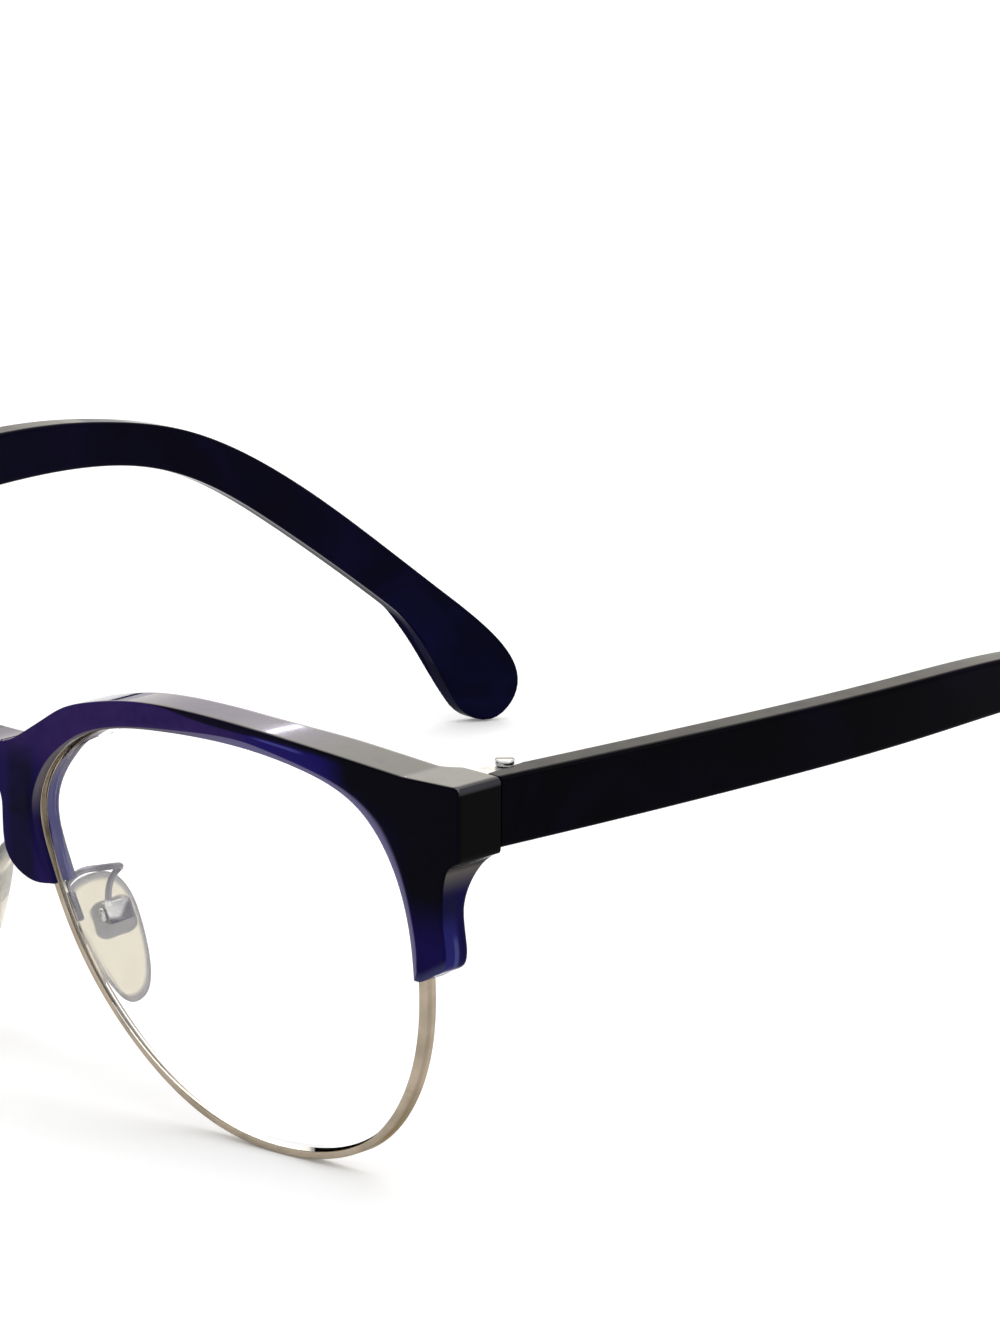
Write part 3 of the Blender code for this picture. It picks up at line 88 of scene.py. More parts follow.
class Wire:
    """An output in a finish's node tree, so that the maths of a finish reads as plain expressions."""

    def __init__(self, tree, socket=None):
        self.tree = tree
        self.socket = socket

    def add(self, kind, settings, values, output=0):
        """A new node of a kind, its settings made first, then the values or wires of its inputs."""
        node = self.tree.nodes.new("ShaderNode" + kind)
        for name, value in settings.items():
            setattr(node, name, value)
        for name, value in values.items():
            if isinstance(value, Wire):
                self.tree.links.new(value.socket, node.inputs[name])
            else:
                node.inputs[name].default_value = value
        return Wire(self.tree, node.outputs[output])

    def maths(self, operation, first, second):
        return self.add("Math", {"operation": operation}, {0: first, 1: second})

    def __add__(self, other):
        return self.maths("ADD", self, other)

    __radd__ = __add__

    def __sub__(self, other):
        return self.maths("SUBTRACT", self, other)

    def __rsub__(self, other):
        return self.maths("SUBTRACT", other, self)

    def __mul__(self, other):
        return self.maths("MULTIPLY", self, other)

    __rmul__ = __mul__

    def __truediv__(self, other):
        return self.maths("DIVIDE", self, other)

    def parts(self):
        """The three parts of a vector."""
        return [self.add("SeparateXYZ", {}, {"Vector": self}, part) for part in range(3)]

    def size(self):
        return self.maths("ABSOLUTE", self, 0.0)

    def near(self, middle, reach):
        """1 close to a value, fading to 0 at its reach."""
        return 1 - (self - middle).size().between(0.4 * reach, reach)

    def between(self, low, high):
        """From 0 at one value to 1 at another, held level beyond both."""
        settings = {"interpolation_type": "SMOOTHSTEP"}
        values = {"Value": self, "From Min": low, "From Max": high}
        return self.add("MapRange", settings, values)

    def blend(self, colour, other):
        """From one colour where this is 0 to the other where it is 1."""
        ends = [end if isinstance(end, Wire) else (*end, 1.0) for end in (colour, other)]
        return self.add("Mix", {"data_type": "RGBA"}, {0: self, 6: ends[0], 7: ends[1]}, 2)


def new_finish(name, constants):
    """A new finish: its material, its shader, and the place on the piece, where its patterns start."""
    material = bpy.data.materials.new(name)
    material.use_nodes = True
    shader = material.node_tree.nodes["Principled BSDF"]
    for socket, value in constants.items():
        shader.inputs[socket].default_value = value
    return material, shader, Wire(material.node_tree).add("TexCoord", {}, {}, 3)


def lead(wire, shader, socket):
    """Leads a wire into one of the shader's inputs."""
    wire.tree.links.new(wire.socket, shader.inputs[socket])


def seen_rays(wire):
    """Above 0 for what the camera sees itself, in a reflection or through something clear."""
    straight, mirrored, passed = (wire.add("LightPath", {}, {}, output) for output in (0, 3, 6))
    return straight + mirrored + passed


def noise(place, scale, detail=3.0, roughness=0.5, distortion=0.0):
    """A soft noise of so many lumps to the metre."""
    values = {"Vector": place, "Scale": scale, "Detail": detail, "Roughness": roughness}
    values["Distortion"] = distortion
    return place.add("TexNoise", {}, values)


scene = bpy.context.scene
scene.view_settings.view_transform = "Standard"

bpy.ops.mesh.primitive_plane_add(size=TABLE_SIZE, location=(0.0, 0.0, -TABLE_DROP))
table = bpy.context.object
table.name = "table"
pale, shader, place = new_finish("pale_table", {"Roughness": 0.85, "Specular IOR Level": 0.1})
lead(noise(place, 60.0).blend((0.95, 0.95, 0.955), (0.96, 0.96, 0.96)), shader, "Base Color")
lead(seen_rays(place) * TABLE_GLOW, shader, "Emission Strength")
table.data.materials.append(pale)

world = bpy.data.worlds.new("studio")
world.use_nodes = True
scene.world = world
light = world.node_tree.nodes["Background"]
light.inputs["Color"].default_value = (1.0, 1.0, 1.0, 1.0)
seen = seen_rays(Wire(world.node_tree))
lead(seen.maths("MINIMUM", seen, 1.0) * EXTRA_LIGHT_SEEN + ROOM_LIGHT, light, "Strength")

for name, (stand, aim, size, power, colour) in LAMPS.items():
    bpy.ops.object.light_add(type="AREA", location=stand)
    lamp = bpy.context.object
    lamp.name = name
    lamp.data.shape = "RECTANGLE"
    lamp.data.size, lamp.data.size_y = size
    lamp.data.energy = power
    lamp.data.color = colour
    lamp.rotation_euler = (Vector(aim) - Vector(stand)).to_track_quat("-Z", "Y").to_euler()

bpy.ops.object.camera_add(location=CAMERA_PLACE)
camera = bpy.context.object
camera.rotation_euler = (math.radians(90.0 - CAMERA_ELEVATION), 0.0, math.radians(CAMERA_AZIMUTH))
camera.data.sensor_width = SENSOR_SIZE
camera.data.lens = FOCAL_PIXELS / PICTURE_PIXELS * SENSOR_SIZE
camera.data.clip_start = 0.01
camera.data.clip_end = 50.0
scene.camera = camera

# The two lenses: plain clear lenses of a rounded, slightly squared outline, cut from a crowned
# blank, with a ground bevel all round that stands in the eyewire's groove.
LENS_WIDTH = 52.0 * MM
LENS_HEIGHT = 42.0 * MM
BRIDGE_WIDTH = 18.0 * MM
BASE_CURVE_RADIUS = 490.0 * MM
RIM_OUTSIDE_LENS = 0.4 * MM
RIM_INSIDE_LENS = 0.35 * MM
LENS_THICKNESS = 1.4 * MM
LENS_CROWN = 1.5 * MM
LENS_BEVELS = ((0.9 * MM, 0.45 * MM), (0.4 * MM, 0.45 * MM))
LENS_POINTS = 216
LENS_RING_SHARES = (0.97, 0.86, 0.72, 0.56, 0.38, 0.2)
LENS_X = (BRIDGE_WIDTH + LENS_WIDTH) / 2
LENS_Z = LENS_HEIGHT / 2 + RIM_OUTSIDE_LENS
EDGE_FACE_TURN = 0.1
BEVEL_FACE_TURN = 0.9
GROUND_FROM_SHARE = 0.29
WELD = 0.001 * MM
FRAME_BACK = 66.6815 * MM
FRAME_DOWN = 0.0073 * MM

# Outline of lens and rim, clockwise from the temple side, in shares of half the boxed width and height
RIM_OUTLINE_SHARES = (
    (0.996, 0.052),
    (0.949, -0.484),
    (0.756, -0.837),
    (0.376, -0.995),
    (-0.081, -0.924),
    (-0.483, -0.631),
    (-0.787, -0.214),
    (-0.938, 0.142),
    (-1.000, 0.426),
    (-0.900, 0.701),
    (-0.668, 0.894),
    (-0.298, 0.982),
    (0.094, 0.999),
    (0.434, 0.956),
    (0.712, 0.834),
    (0.894, 0.565),
)


def lengths(vectors):
    return np.linalg.norm(vectors, axis=1)


def distances_along(points):
    """How far along a chain of points each of them lies."""
    return np.concatenate([[0.0], np.cumsum(lengths(np.diff(points, axis=0)))])


def curve_through(points, closed=False):
    """A cubic spline through the points, as a function of a share of its length from 0 to 1."""
    knots = np.array(points, dtype=float)
    if closed:
        knots = np.vstack([knots, knots[:1]])
    steps = lengths(np.diff(knots, axis=0))
    at = np.concatenate([[0.0], np.cumsum(steps)]) / steps.sum()
    gaps = np.diff(at)
    slopes = np.diff(knots, axis=0) / gaps[:, None]
    count = len(knots)
    matrix = np.eye(count)
    right = np.zeros_like(knots)
    for i in range(1, count - 1):
        matrix[i, i - 1 : i + 2] = gaps[i - 1], 2 * (gaps[i - 1] + gaps[i]), gaps[i]
        right[i] = 6 * (slopes[i] - slopes[i - 1])
    if closed:
        matrix[0, :2] = 2 * (gaps[-1] + gaps[0]), gaps[0]
        matrix[0, -2] = gaps[-1]
        right[0] = 6 * (slopes[0] - slopes[-1])
        matrix[-1, 0] = -1.0
    bends = np.linalg.solve(matrix, right)

    def place(share):
        share = np.asarray(share, dtype=float)
        i = np.clip(np.searchsorted(at, share, side="right") - 1, 0, count - 2)
        before = (share - at[i])[..., None]
        after = (at[i + 1] - share)[..., None]
        gap = gaps[i][..., None]
        cubic = (bends[i] * after**3 + bends[i + 1] * before**3) / (6 * gap)
        straight = (knots[i] / gap - bends[i] * gap / 6) * after
        return cubic + straight + (knots[i + 1] / gap - bends[i + 1] * gap / 6) * before

    return place


def spread(points, count, closed=False):
    """Points at even distances along the spline, with both ends of an open one."""
    place = curve_through(points, closed)
    fine = place(np.linspace(0, 1, 40 * count + 1))
    way = distances_along(fine)
    wanted = np.linspace(0, way[-1], count + 1 if closed else count)
    if closed:
        wanted = wanted[:-1]
    return np.stack([np.interp(wanted, way, fine[:, k]) for k in range(fine.shape[1])], axis=1)


def grown(outline, distance):
    """A closed outline moved outwards by the distance, whichever way it runs."""
    after = np.roll(outline, -1, axis=0) - outline
    before = outline - np.roll(outline, 1, axis=0)
    along = after / lengths(after)[:, None]
    along = along + before / lengths(before)[:, None]
    along = along / lengths(along)[:, None]
    area = np.sum(outline[:, 0] * np.roll(outline[:, 1], -1) - outline[:, 1] * np.roll(outline[:, 0], -1))
    turn = 1.0 if area > 0 else -1.0
    return outline + np.stack([along[:, 1], -along[:, 0]], axis=1) * turn * distance


def rim_outline(beyond_lens, count=LENS_POINTS):
    """The rim's outline at a distance outside the lens edge."""
    shares = np.array(RIM_OUTLINE_SHARES) * (LENS_WIDTH / 2, LENS_HEIGHT / 2)
    return grown(spread(shares + (LENS_X, LENS_Z), count, closed=True), beyond_lens)


def set_back(x):
    """How far the base curve sets the front back at a distance x from the middle."""
    return x * x / (2 * BASE_CURVE_RADIUS)


def in_front_view(flat, depth):
    """Places in space of points of the front view, at a depth."""
    return np.column_stack([flat[:, 0], np.broadcast_to(depth, len(flat)), flat[:, 1]])


def only(piece):
    """Makes one piece the active and only selected object."""
    if bpy.context.object and bpy.context.object.mode != "OBJECT":
        bpy.ops.object.mode_set(mode="OBJECT")
    bpy.ops.object.select_all(action="DESELECT")
    piece.select_set(True)
    bpy.context.view_layer.objects.active = piece


def pick(piece, kind="verts", test=lambda part: True):
    """Goes into edit mode and selects the vertices, edges or faces that pass the test."""
    only(piece)
    bpy.ops.object.mode_set(mode="EDIT")
    bpy.ops.mesh.select_mode(type={"verts": "VERT", "edges": "EDGE", "faces": "FACE"}[kind])
    bpy.ops.mesh.select_all(action="DESELECT")
    mesh = bmesh.from_edit_mesh(piece.data)
    mesh.normal_update()
    for part in getattr(mesh, kind):
        part.select = test(part)
    mesh.select_flush(True)
    bmesh.update_edit_mesh(piece.data)


def done_editing():
    bpy.ops.object.mode_set(mode="OBJECT")


def moved(piece, move):
    """Moves all the piece's points at once by a rule on their places."""
    places = np.empty(len(piece.data.vertices) * 3)
    piece.data.vertices.foreach_get("co", places)
    piece.data.vertices.foreach_set("co", move(places.reshape(-1, 3)).ravel())
    piece.data.update()


def fresh(add, **settings):
    """A new primitive, with nothing else selected."""
    bpy.ops.object.select_all(action="DESELECT")
    add(**settings)
    return bpy.context.object


def shaped_circle(points, move, fill="NOTHING"):
    """A circle primitive whose points are moved to an outline."""
    piece = fresh(bpy.ops.mesh.primitive_circle_add, vertices=points, radius=1.0, fill_type=fill)
    moved(piece, move)
    return piece


def bent(piece):
    """Bends a flat part of the front to its base curve."""
    moved(piece, lambda at: at + np.outer(set_back(at[:, 0]), (0.0, 1.0, 0.0)))


def modified(piece, kind, **settings):
    """Adds a modifier to the piece and applies it."""
    only(piece)
    modifier = piece.modifiers.new(kind.lower(), kind)
    for name, value in settings.items():
        setattr(modifier, name, value)
    bpy.ops.object.modifier_apply(modifier=modifier.name)


def turned_out(piece):
    """Merges doubled points and turns all faces outwards."""
    pick(piece)
    bpy.ops.mesh.remove_doubles(threshold=WELD)
    bpy.ops.mesh.normals_make_consistent(inside=False)
    done_editing()


def other_side(piece):
    """The same piece for the wearer's right."""
    only(piece)
    bpy.ops.object.duplicate()
    copy = bpy.context.object
    moved(copy, lambda at: at * (-1.0, 1.0, 1.0))
    turned_out(copy)
    return copy


def handed_over(piece, finish, body, nodes, smooth):
    """Puts a finished piece in the shared frame, on its body, with its finish."""
    moved(piece, lambda at: at - (0.0, FRAME_BACK, FRAME_DOWN))
    only(piece)
    bpy.ops.object.shade_smooth_by_angle(angle=math.radians(smooth))
    piece.data.materials.clear()
    piece.data.materials.append(finish)
    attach(piece, body)
    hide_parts(*nodes)


def both_sides(piece, node, finish, body, smooth=35.0):
    """Hands over a left piece and its right copy, each in place of its own node."""
    for one, side in ((other_side(piece), "_right"), (piece, "_left")):
        one.name = "fine_" + node + side
        handed_over(one, finish, body if body == "front" else body + side, [node + side], smooth)


clear, shader, place = new_finish(
    "clear_lens", {"IOR": 1.5, "Transmission Weight": 1.0, "Specular IOR Level": 0.05}
)
wiped = noise(place, 140.0, detail=5.0, distortion=0.6).between(0.5, 0.75)
lead(wiped.blend((1.0, 1.0, 1.0), (0.985, 0.99, 0.995)), shader, "Base Color")
lead(wiped * 0.02 + 0.004, shader, "Roughness")
lead(1 - place.add("Attribute", {"attribute_name": "ground_edge"}, {}, 2), shader, "Alpha")

edge = rim_outline(-sum(slope for _, slope in LENS_BEVELS))
centre = Vector((LENS_X, 0.0, LENS_Z))
lens = shaped_circle(LENS_POINTS, lambda at: in_front_view(edge, -LENS_THICKNESS / 2))
pick(lens)
before = 1.0
for share in LENS_RING_SHARES:
    bpy.ops.mesh.extrude_edges_move()
    bpy.ops.transform.resize(value=(share / before, 1.0, share / before), center_override=centre)
    before = share
bpy.ops.mesh.extrude_edges_move()
bpy.ops.mesh.merge(type="CENTER")
bpy.ops.mesh.select_all(action="SELECT")
bpy.ops.mesh.extrude_region_move(TRANSFORM_OT_translate={"value": (0.0, LENS_THICKNESS, 0.0)})
bpy.ops.mesh.select_all(action="SELECT")
bpy.ops.mesh.normals_make_consistent(inside=False)
done_editing()
height = LENS_THICKNESS
for width, slope in LENS_BEVELS:
    pick(lens, "faces", lambda face: abs(face.normal.y) < EDGE_FACE_TURN)
    bpy.ops.mesh.extrude_region_move()
    bpy.ops.transform.shrink_fatten(value=slope)
    bpy.ops.transform.resize(value=(1.0, width / height, 1.0), center_override=centre)
    height = width
    done_editing()


def crowned(at):
    """Crown of the lens blank: highest in the middle, level with the groove at the edge."""
    across = (at[:, 0] - LENS_X) / (LENS_WIDTH / 2)
    up = (at[:, 2] - LENS_Z) / (LENS_HEIGHT / 2)
    share = np.clip(1 - across**2 - up**2, 0.0, 1.0)
    return at - np.outer(LENS_CROWN * share, (0.0, 1.0, 0.0))


moved(lens, crowned)
bent(lens)
turned_out(lens)
mark = lens.data.attributes.new("ground_edge", "FLOAT", "FACE")
nose_side = LENS_X - LENS_WIDTH * GROUND_FROM_SHARE
ground = [abs(face.normal.y) < BEVEL_FACE_TURN and face.center.x < nose_side for face in lens.data.polygons]
mark.data.foreach_set("value", np.array(ground, dtype=float))
both_sides(lens, "lens", clear, "front", smooth=20.0)

# The two eyewires: grooved metal strip, bent round the lens and closed by a split block behind the
# acetate's side leg, where the lock screw draws its ends together. Plated a pale champagne gold.
RIM_DEPTH = 1.7 * MM
RIM_GROOVE_LIP = 0.25 * MM
RIM_GROOVE_DEEP = 0.45 * MM
RIM_GROOVE_TAPER = 0.6
RIM_EDGE_ROUND = 0.13 * MM
BLOCK_UP_SHARE = 0.28
BLOCK_REACH = 2.1 * MM
BLOCK_HALF_HEIGHT = 2.0 * MM
BLOCK_BACK = 0.4 * MM
BLOCK_ROOT = 0.2 * MM
BLOCK_SLIT = 0.3 * MM
BLOCK_SHANK_SHARE = 0.9
LOCK_SHANK_RADIUS = 0.4 * MM
LOCK_HEAD_RADIUS = 0.7 * MM
LOCK_HEAD_HEIGHT = 0.55 * MM
LOCK_SEAT = 0.05 * MM
RIM_HALF_WIDTH = LENS_WIDTH / 2 + RIM_OUTSIDE_LENS
RIM_HALF_HEIGHT = LENS_HEIGHT / 2 + RIM_OUTSIDE_LENS


def rim_side(height):
    """How far out the rim's temple side stands at a height."""
    side = sorted((z, x) for x, z in rim_outline(RIM_OUTSIDE_LENS) if x > LENS_X + RIM_HALF_WIDTH / 2)
    return float(np.interp(height, [p[0] for p in side], [p[1] for p in side]))


def cube(low, high):
    """A new cube primitive between two corners."""
    block = fresh(bpy.ops.mesh.primitive_cube_add, size=1.0, location=(np.array(low) + high) / 2)
    block.scale = np.array(high) - low
    bpy.ops.object.transform_apply(location=True, rotation=True, scale=True)
    return block


def rod(radius, start, end, sides=40):
    """A new cylinder primitive between two points."""
    start, end = Vector(start), Vector(end)
    piece = fresh(
        bpy.ops.mesh.primitive_cylinder_add,
        vertices=sides,
        radius=radius,
        depth=(end - start).length,
        location=(start + end) / 2,
        rotation=(end - start).to_track_quat("Z", "Y").to_euler(),
    )
    bpy.ops.object.transform_apply(location=True, rotation=True, scale=True)
    return piece


def boolean(piece, tool, operation):
    """Cuts the tool away from the piece or joins it on, and uses the tool up."""
    modified(piece, "BOOLEAN", operation=operation, solver="EXACT", object=tool)
    bpy.data.objects.remove(tool, do_unlink=True)


def rounded(piece, width, segments=3, angle=40.0):
    """Rounds the piece's sharp edges."""
    settings = {"limit_method": "ANGLE", "angle_limit": math.radians(angle), "harden_normals": False}
    modified(piece, "BEVEL", width=width, segments=segments, use_clamp_overlap=True, **settings)


def band(beyond_lens, front_edge, steps, thickness, way):
    """A strip on the rim's outline, drawn back in steps, thickened outwards (way 1) or inwards (-1)."""
    strip = shaped_circle(LENS_POINTS, lambda at: in_front_view(rim_outline(beyond_lens), front_edge))
    pick(strip)
    for step in steps:
        bpy.ops.mesh.extrude_edges_move(TRANSFORM_OT_translate={"value": (0.0, step, 0.0)})
    bpy.ops.mesh.select_all(action="SELECT")
    bpy.ops.mesh.normals_make_consistent(inside=False)
    done_editing()
    face = strip.data.polygons[0]
    facing = 1.0 if face.normal.dot(Vector(face.center) - centre) > 0 else -1.0
    modified(strip, "SOLIDIFY", thickness=thickness, offset=way * facing, use_even_offset=True)
    turned_out(strip)
    return strip


def bumped(shader, height, strength, distance):
    """Lets a pattern raise the surface of a finish a little."""
    values = {"Strength": strength, "Distance": distance, "Height": height}
    lead(height.add("Bump", {}, values), shader, "Normal")


half = RIM_DEPTH / 2
steps = (RIM_GROOVE_LIP, RIM_DEPTH - 2 * RIM_GROOVE_LIP, RIM_GROOVE_LIP)
eyewire = band(-RIM_INSIDE_LENS, -half, steps, RIM_OUTSIDE_LENS + RIM_INSIDE_LENS, 1)
pick(
    eyewire,
    "faces",
    lambda face: abs(face.calc_center_median().y) < half / 4
    and face.normal.dot(face.calc_center_median() - centre) < 0,
)
bpy.ops.mesh.extrude_region_move()
bpy.ops.transform.shrink_fatten(value=-RIM_GROOVE_DEEP)
bpy.ops.transform.resize(value=(1.0, RIM_GROOVE_TAPER, 1.0), center_override=centre)
done_editing()
rounded(eyewire, RIM_EDGE_ROUND, angle=60.0)
block_z = LENS_Z + BLOCK_UP_SHARE * RIM_HALF_HEIGHT
block_x = rim_side(block_z)
low = (block_x - BLOCK_ROOT, -half, block_z - BLOCK_HALF_HEIGHT)
high = (block_x + BLOCK_REACH, half + BLOCK_BACK, block_z + BLOCK_HALF_HEIGHT)
closing = cube(low, high)
pick(closing, "verts", lambda vertex: vertex.co.x < block_x)
for vertex in bmesh.from_edit_mesh(closing.data).verts:
    if vertex.select:
        vertex.co.x = rim_side(vertex.co.z) - BLOCK_ROOT
done_editing()
rounded(closing, RIM_EDGE_ROUND)
boolean(eyewire, closing, "UNION")
low = (block_x - 2 * BLOCK_REACH, -2 * half, block_z - BLOCK_SLIT / 2)
high = (block_x + 2 * BLOCK_REACH, 3 * half, block_z + BLOCK_SLIT / 2)
boolean(eyewire, cube(low, high), "DIFFERENCE")
lock_x = block_x + BLOCK_REACH - LOCK_HEAD_RADIUS
lock_y = BLOCK_BACK / 2
reach = 2 * BLOCK_HALF_HEIGHT
ends = ((lock_x, lock_y, block_z - reach), (lock_x, lock_y, block_z + reach))
boolean(eyewire, rod(LOCK_SHANK_RADIUS + LOCK_SEAT, *ends), "DIFFERENCE")
pick(eyewire)
bpy.ops.mesh.dissolve_degenerate(threshold=5 * WELD)
done_editing()
bent(eyewire)

champagne, shader, place = new_finish(
    "champagne_plating", {"Metallic": 1.0, "Specular Tint": (0.5, 0.43, 0.34, 1.0)}
)
x, y, _ = place.parts()
tarnish = noise(place, 220.0, detail=4.0, distortion=0.4).between(0.35, 0.7)
depth = y + FRAME_BACK - set_back(x)
brushed = noise(place, 5200.0, detail=2.0)
plate = tarnish.blend((0.42, 0.35, 0.27), (0.31, 0.26, 0.195))
groove_shade = depth.near(-0.1 * MM, 0.45 * MM) * (0.7 - x.size().between(34.0 * MM, 42.0 * MM) * 0.45)
lead(groove_shade.blend(plate, (0.12, 0.095, 0.065)), shader, "Base Color")
lead(tarnish * 0.08 + brushed * 0.08 + 0.14, shader, "Roughness")
bumped(shader, brushed, 0.12, 0.01 * MM)
both_sides(eyewire, "eyewire", champagne, "front", smooth=32.0)

# The lock screw stands upright in the closing block, its slotted head below. It is turned from
# steel, and its finish serves the other screws, the hinges and the core wires too.
steel, shader, place = new_finish("screw_steel", {"Metallic": 1.0})
turned = noise(place, 3800.0, detail=2.0)
dulled = noise(place, 500.0, detail=4.0).between(0.4, 0.75)
lead(dulled.blend((0.62, 0.62, 0.61), (0.48, 0.47, 0.46)), shader, "Base Color")
lead(dulled * 0.15 + turned * 0.1 + 0.16, shader, "Roughness")
bumped(shader, turned, 0.1, 0.01 * MM)


def slotted_screw(foot, under, top, shank, head, slot_width, slot_depth, crown):
    """A cylinder primitive turned to a screw: the head extruded and rounded, the slot cut."""
    screw = rod(shank, foot, under)
    along = (Vector(top) - Vector(foot)).normalized()
    cap = Vector(under)
    pick(screw, "faces", lambda face: (face.calc_center_median() - cap).length < shank / 4)
    bpy.ops.mesh.extrude_region_move()
    wide = head / shank
    bpy.ops.transform.resize(value=(wide, wide, wide), center_override=cap)
    bpy.ops.mesh.extrude_region_move(TRANSFORM_OT_translate={"value": (Vector(top) - cap)})
    done_editing()
    rounded(screw, crown, angle=50.0)
    across = along.orthogonal().normalized()
    side = along.cross(across)
    slit = cube((-2 * head, -slot_width / 2, -slot_depth), (2 * head, slot_width / 2, slot_depth))
    turn = Matrix((across, side, along)).transposed().to_4x4()
    slit.data.transform(Matrix.Translation(top) @ turn)
    boolean(screw, slit, "DIFFERENCE")
    return screw


under = block_z - BLOCK_HALF_HEIGHT - LOCK_SEAT
plan_y = lock_y + set_back(block_x)
lock_screw = slotted_screw(
    (lock_x, plan_y, block_z + BLOCK_HALF_HEIGHT * BLOCK_SHANK_SHARE),
    (lock_x, plan_y, under),
    (lock_x, plan_y, under - LOCK_HEAD_HEIGHT),
    shank=LOCK_SHANK_RADIUS,
    head=LOCK_HEAD_RADIUS,
    slot_width=0.25 * MM,
    slot_depth=0.25 * MM,
    crown=0.1 * MM,
)
both_sides(lock_screw, "rim_lock_screw", steel, "front")

# The brow front: one sheet of polished navy acetate, cut to its outline, its lens openings rolled at
# the front edge, bent to the base curve and faced off square where the temples butt against it.
FRONT_LIP = 1.0 * MM
BROW_BACK = 3.3 * MM
BROW_BACK_SIDE = 4.1 * MM
LEG_BACK = 1.6 * MM
NOSE_LEG_BACK = 2.7 * MM
NOSE_FOOT_END = 13.0 * MM
NOSE_FOOT_TOP = 22.6 * MM
FRONT_EDGE_ROUND = 0.5 * MM
CRISP_EDGE = 0.2 * MM
GROOVE_CLEARANCE = 0.12 * MM
ROLL_WIDTH = 0.8 * MM
ROLL_DEPTH = 0.4 * MM
BRIDGE_THICKNESS = 3.5 * MM
LEG_INSET = 2.1 * MM
CORNER_ROUND = 0.6 * MM
JOINT_FACE = 8.6 * MM
ENDPIECE_REACH = 5.5 * MM
BLOCK_CLEARANCE = 0.2 * MM
FRONT_COLUMNS = 300
FRONT_ROWS = 18
LEG_TAPER_UP_SHARES = (0.349, 0.651)
LEG_BACK_ACROSS_SHARES = (-0.6, -0.2)
SIDE_BACK_ACROSS_SHARES = (0.10, 0.60)
FACED_ACROSS_SHARES = (0.90, 1.05)
SADDLE_UP_SHARE = 0.692
ENDPIECE_LOW_SHARE = 0.633
ROLL_CURVE = 1.4
ROLL_WIDEST_SHARE = 0.36
EDGE_WIDEST_SHARE = 0.3
COLUMN_EDGE = 0.2 * MM
CLOSE = 0.01 * MM
SLIVER = 0.02 * MM
WALL_SHARES = (0.0, 0.06, 0.94, 1.0)
EDGE_STEPS = np.array((0.0, 0.08, 0.3, 0.62, 1.0))
ROLL_STEPS = np.array((0.0, 0.25, 0.5, 0.75, 1.0))
EDGE_ROWS = len(EDGE_STEPS) - 1
FRONT_HALF_WIDTH = BRIDGE_WIDTH / 2 + LENS_WIDTH + ENDPIECE_REACH
FRONT_FACE = -(RIM_DEPTH / 2 + FRONT_LIP)
GROOVE_HALF_DEPTH = RIM_DEPTH / 2 + GROOVE_CLEARANCE
SADDLE_Z = LENS_Z + SADDLE_UP_SHARE * RIM_HALF_HEIGHT
ENDPIECE_TOP = LENS_Z + RIM_HALF_HEIGHT
ENDPIECE_BOTTOM = LENS_Z + ENDPIECE_LOW_SHARE * RIM_HALF_HEIGHT

# Brow line from the bridge to the endpiece, and the nose-side leg, in shares of half the rim's box
BROW_SHARES = (
    (-1.200, 0.695),
    (-1.129, 0.711),
    (-1.038, 0.771),
    (-0.924, 0.862),
    (-0.811, 0.947),
    (-0.683, 1.002),
    (-0.485, 1.056),
    (-0.167, 1.083),
    (0.144, 1.074),
    (0.636, 1.032),
    (0.924, 1.000),
)
NOSE_LEG_SHARES = (
    (-0.803, 0.095),
    (-0.852, 0.065),
    (-0.909, 0.049),
    (-0.966, 0.042),
    (-1.023, 0.054),
    (-1.083, 0.089),
    (-1.129, 0.145),
    (-1.151, 0.239),
    (-1.155, 0.355),
    (-1.166, 0.442),
)
ARCH_SHOULDER_SHARES = (0.66, 0.16)

# Temple-side leg below the endpiece: shares of the leg's inset, and of half the rim's height
SIDE_LEG_SHARES = (
    (0.30, 0.628),
    (0.62, 0.605),
    (0.90, 0.540),
    (1.00, 0.435),
    (0.97, 0.315),
    (0.84, 0.220),
    (0.80, 0.165),
    (0.98, 0.105),
    (1.40, 0.080),
    (2.10, 0.040),
    (2.42, 0.027),
    (2.66, 0.030),
    (2.90, 0.044),
    (3.20, 0.070),
)


def in_rim(across, up):
    """A point of the front view from its shares of half the rim's box."""
    return (LENS_X + across * RIM_HALF_WIDTH, LENS_Z + up * RIM_HALF_HEIGHT)


def corner(at, before, after, radius, count=7):
    """A rounded corner: an arc of the radius between the directions to the points before and after."""
    at, before, after = (np.array(p, dtype=float) for p in (at, before, after))
    towards = [(p - at) / np.linalg.norm(p - at) for p in (before, after)]
    half = math.acos(np.clip(np.dot(towards[0], towards[1]), -1, 1)) / 2
    middle = towards[0] + towards[1]
    centre = at + middle / np.linalg.norm(middle) * radius / math.sin(half)
    ends = [at + t * radius / math.tan(half) - centre for t in towards]
    arc = [ends[0] * (1 - s) + ends[1] * s for s in np.linspace(0, 1, count)]
    return np.array([centre + a / np.linalg.norm(a) * radius for a in arc])


def run_of(points, step=0.5 * MM):
    """An open spline with about one point for each step of its length."""
    length = lengths(np.diff(np.array(points), axis=0)).sum()
    return spread(points, max(2, round(length / step) + 1))


def walk(points):
    """A function from a share of the length of a chain of points to its place, and that length."""
    way = distances_along(points)
    length = way[-1]

    def place(share):
        return np.stack([np.interp(np.asarray(share) * length, way, points[:, k]) for k in (0, 1)], axis=-1)

    return place, length


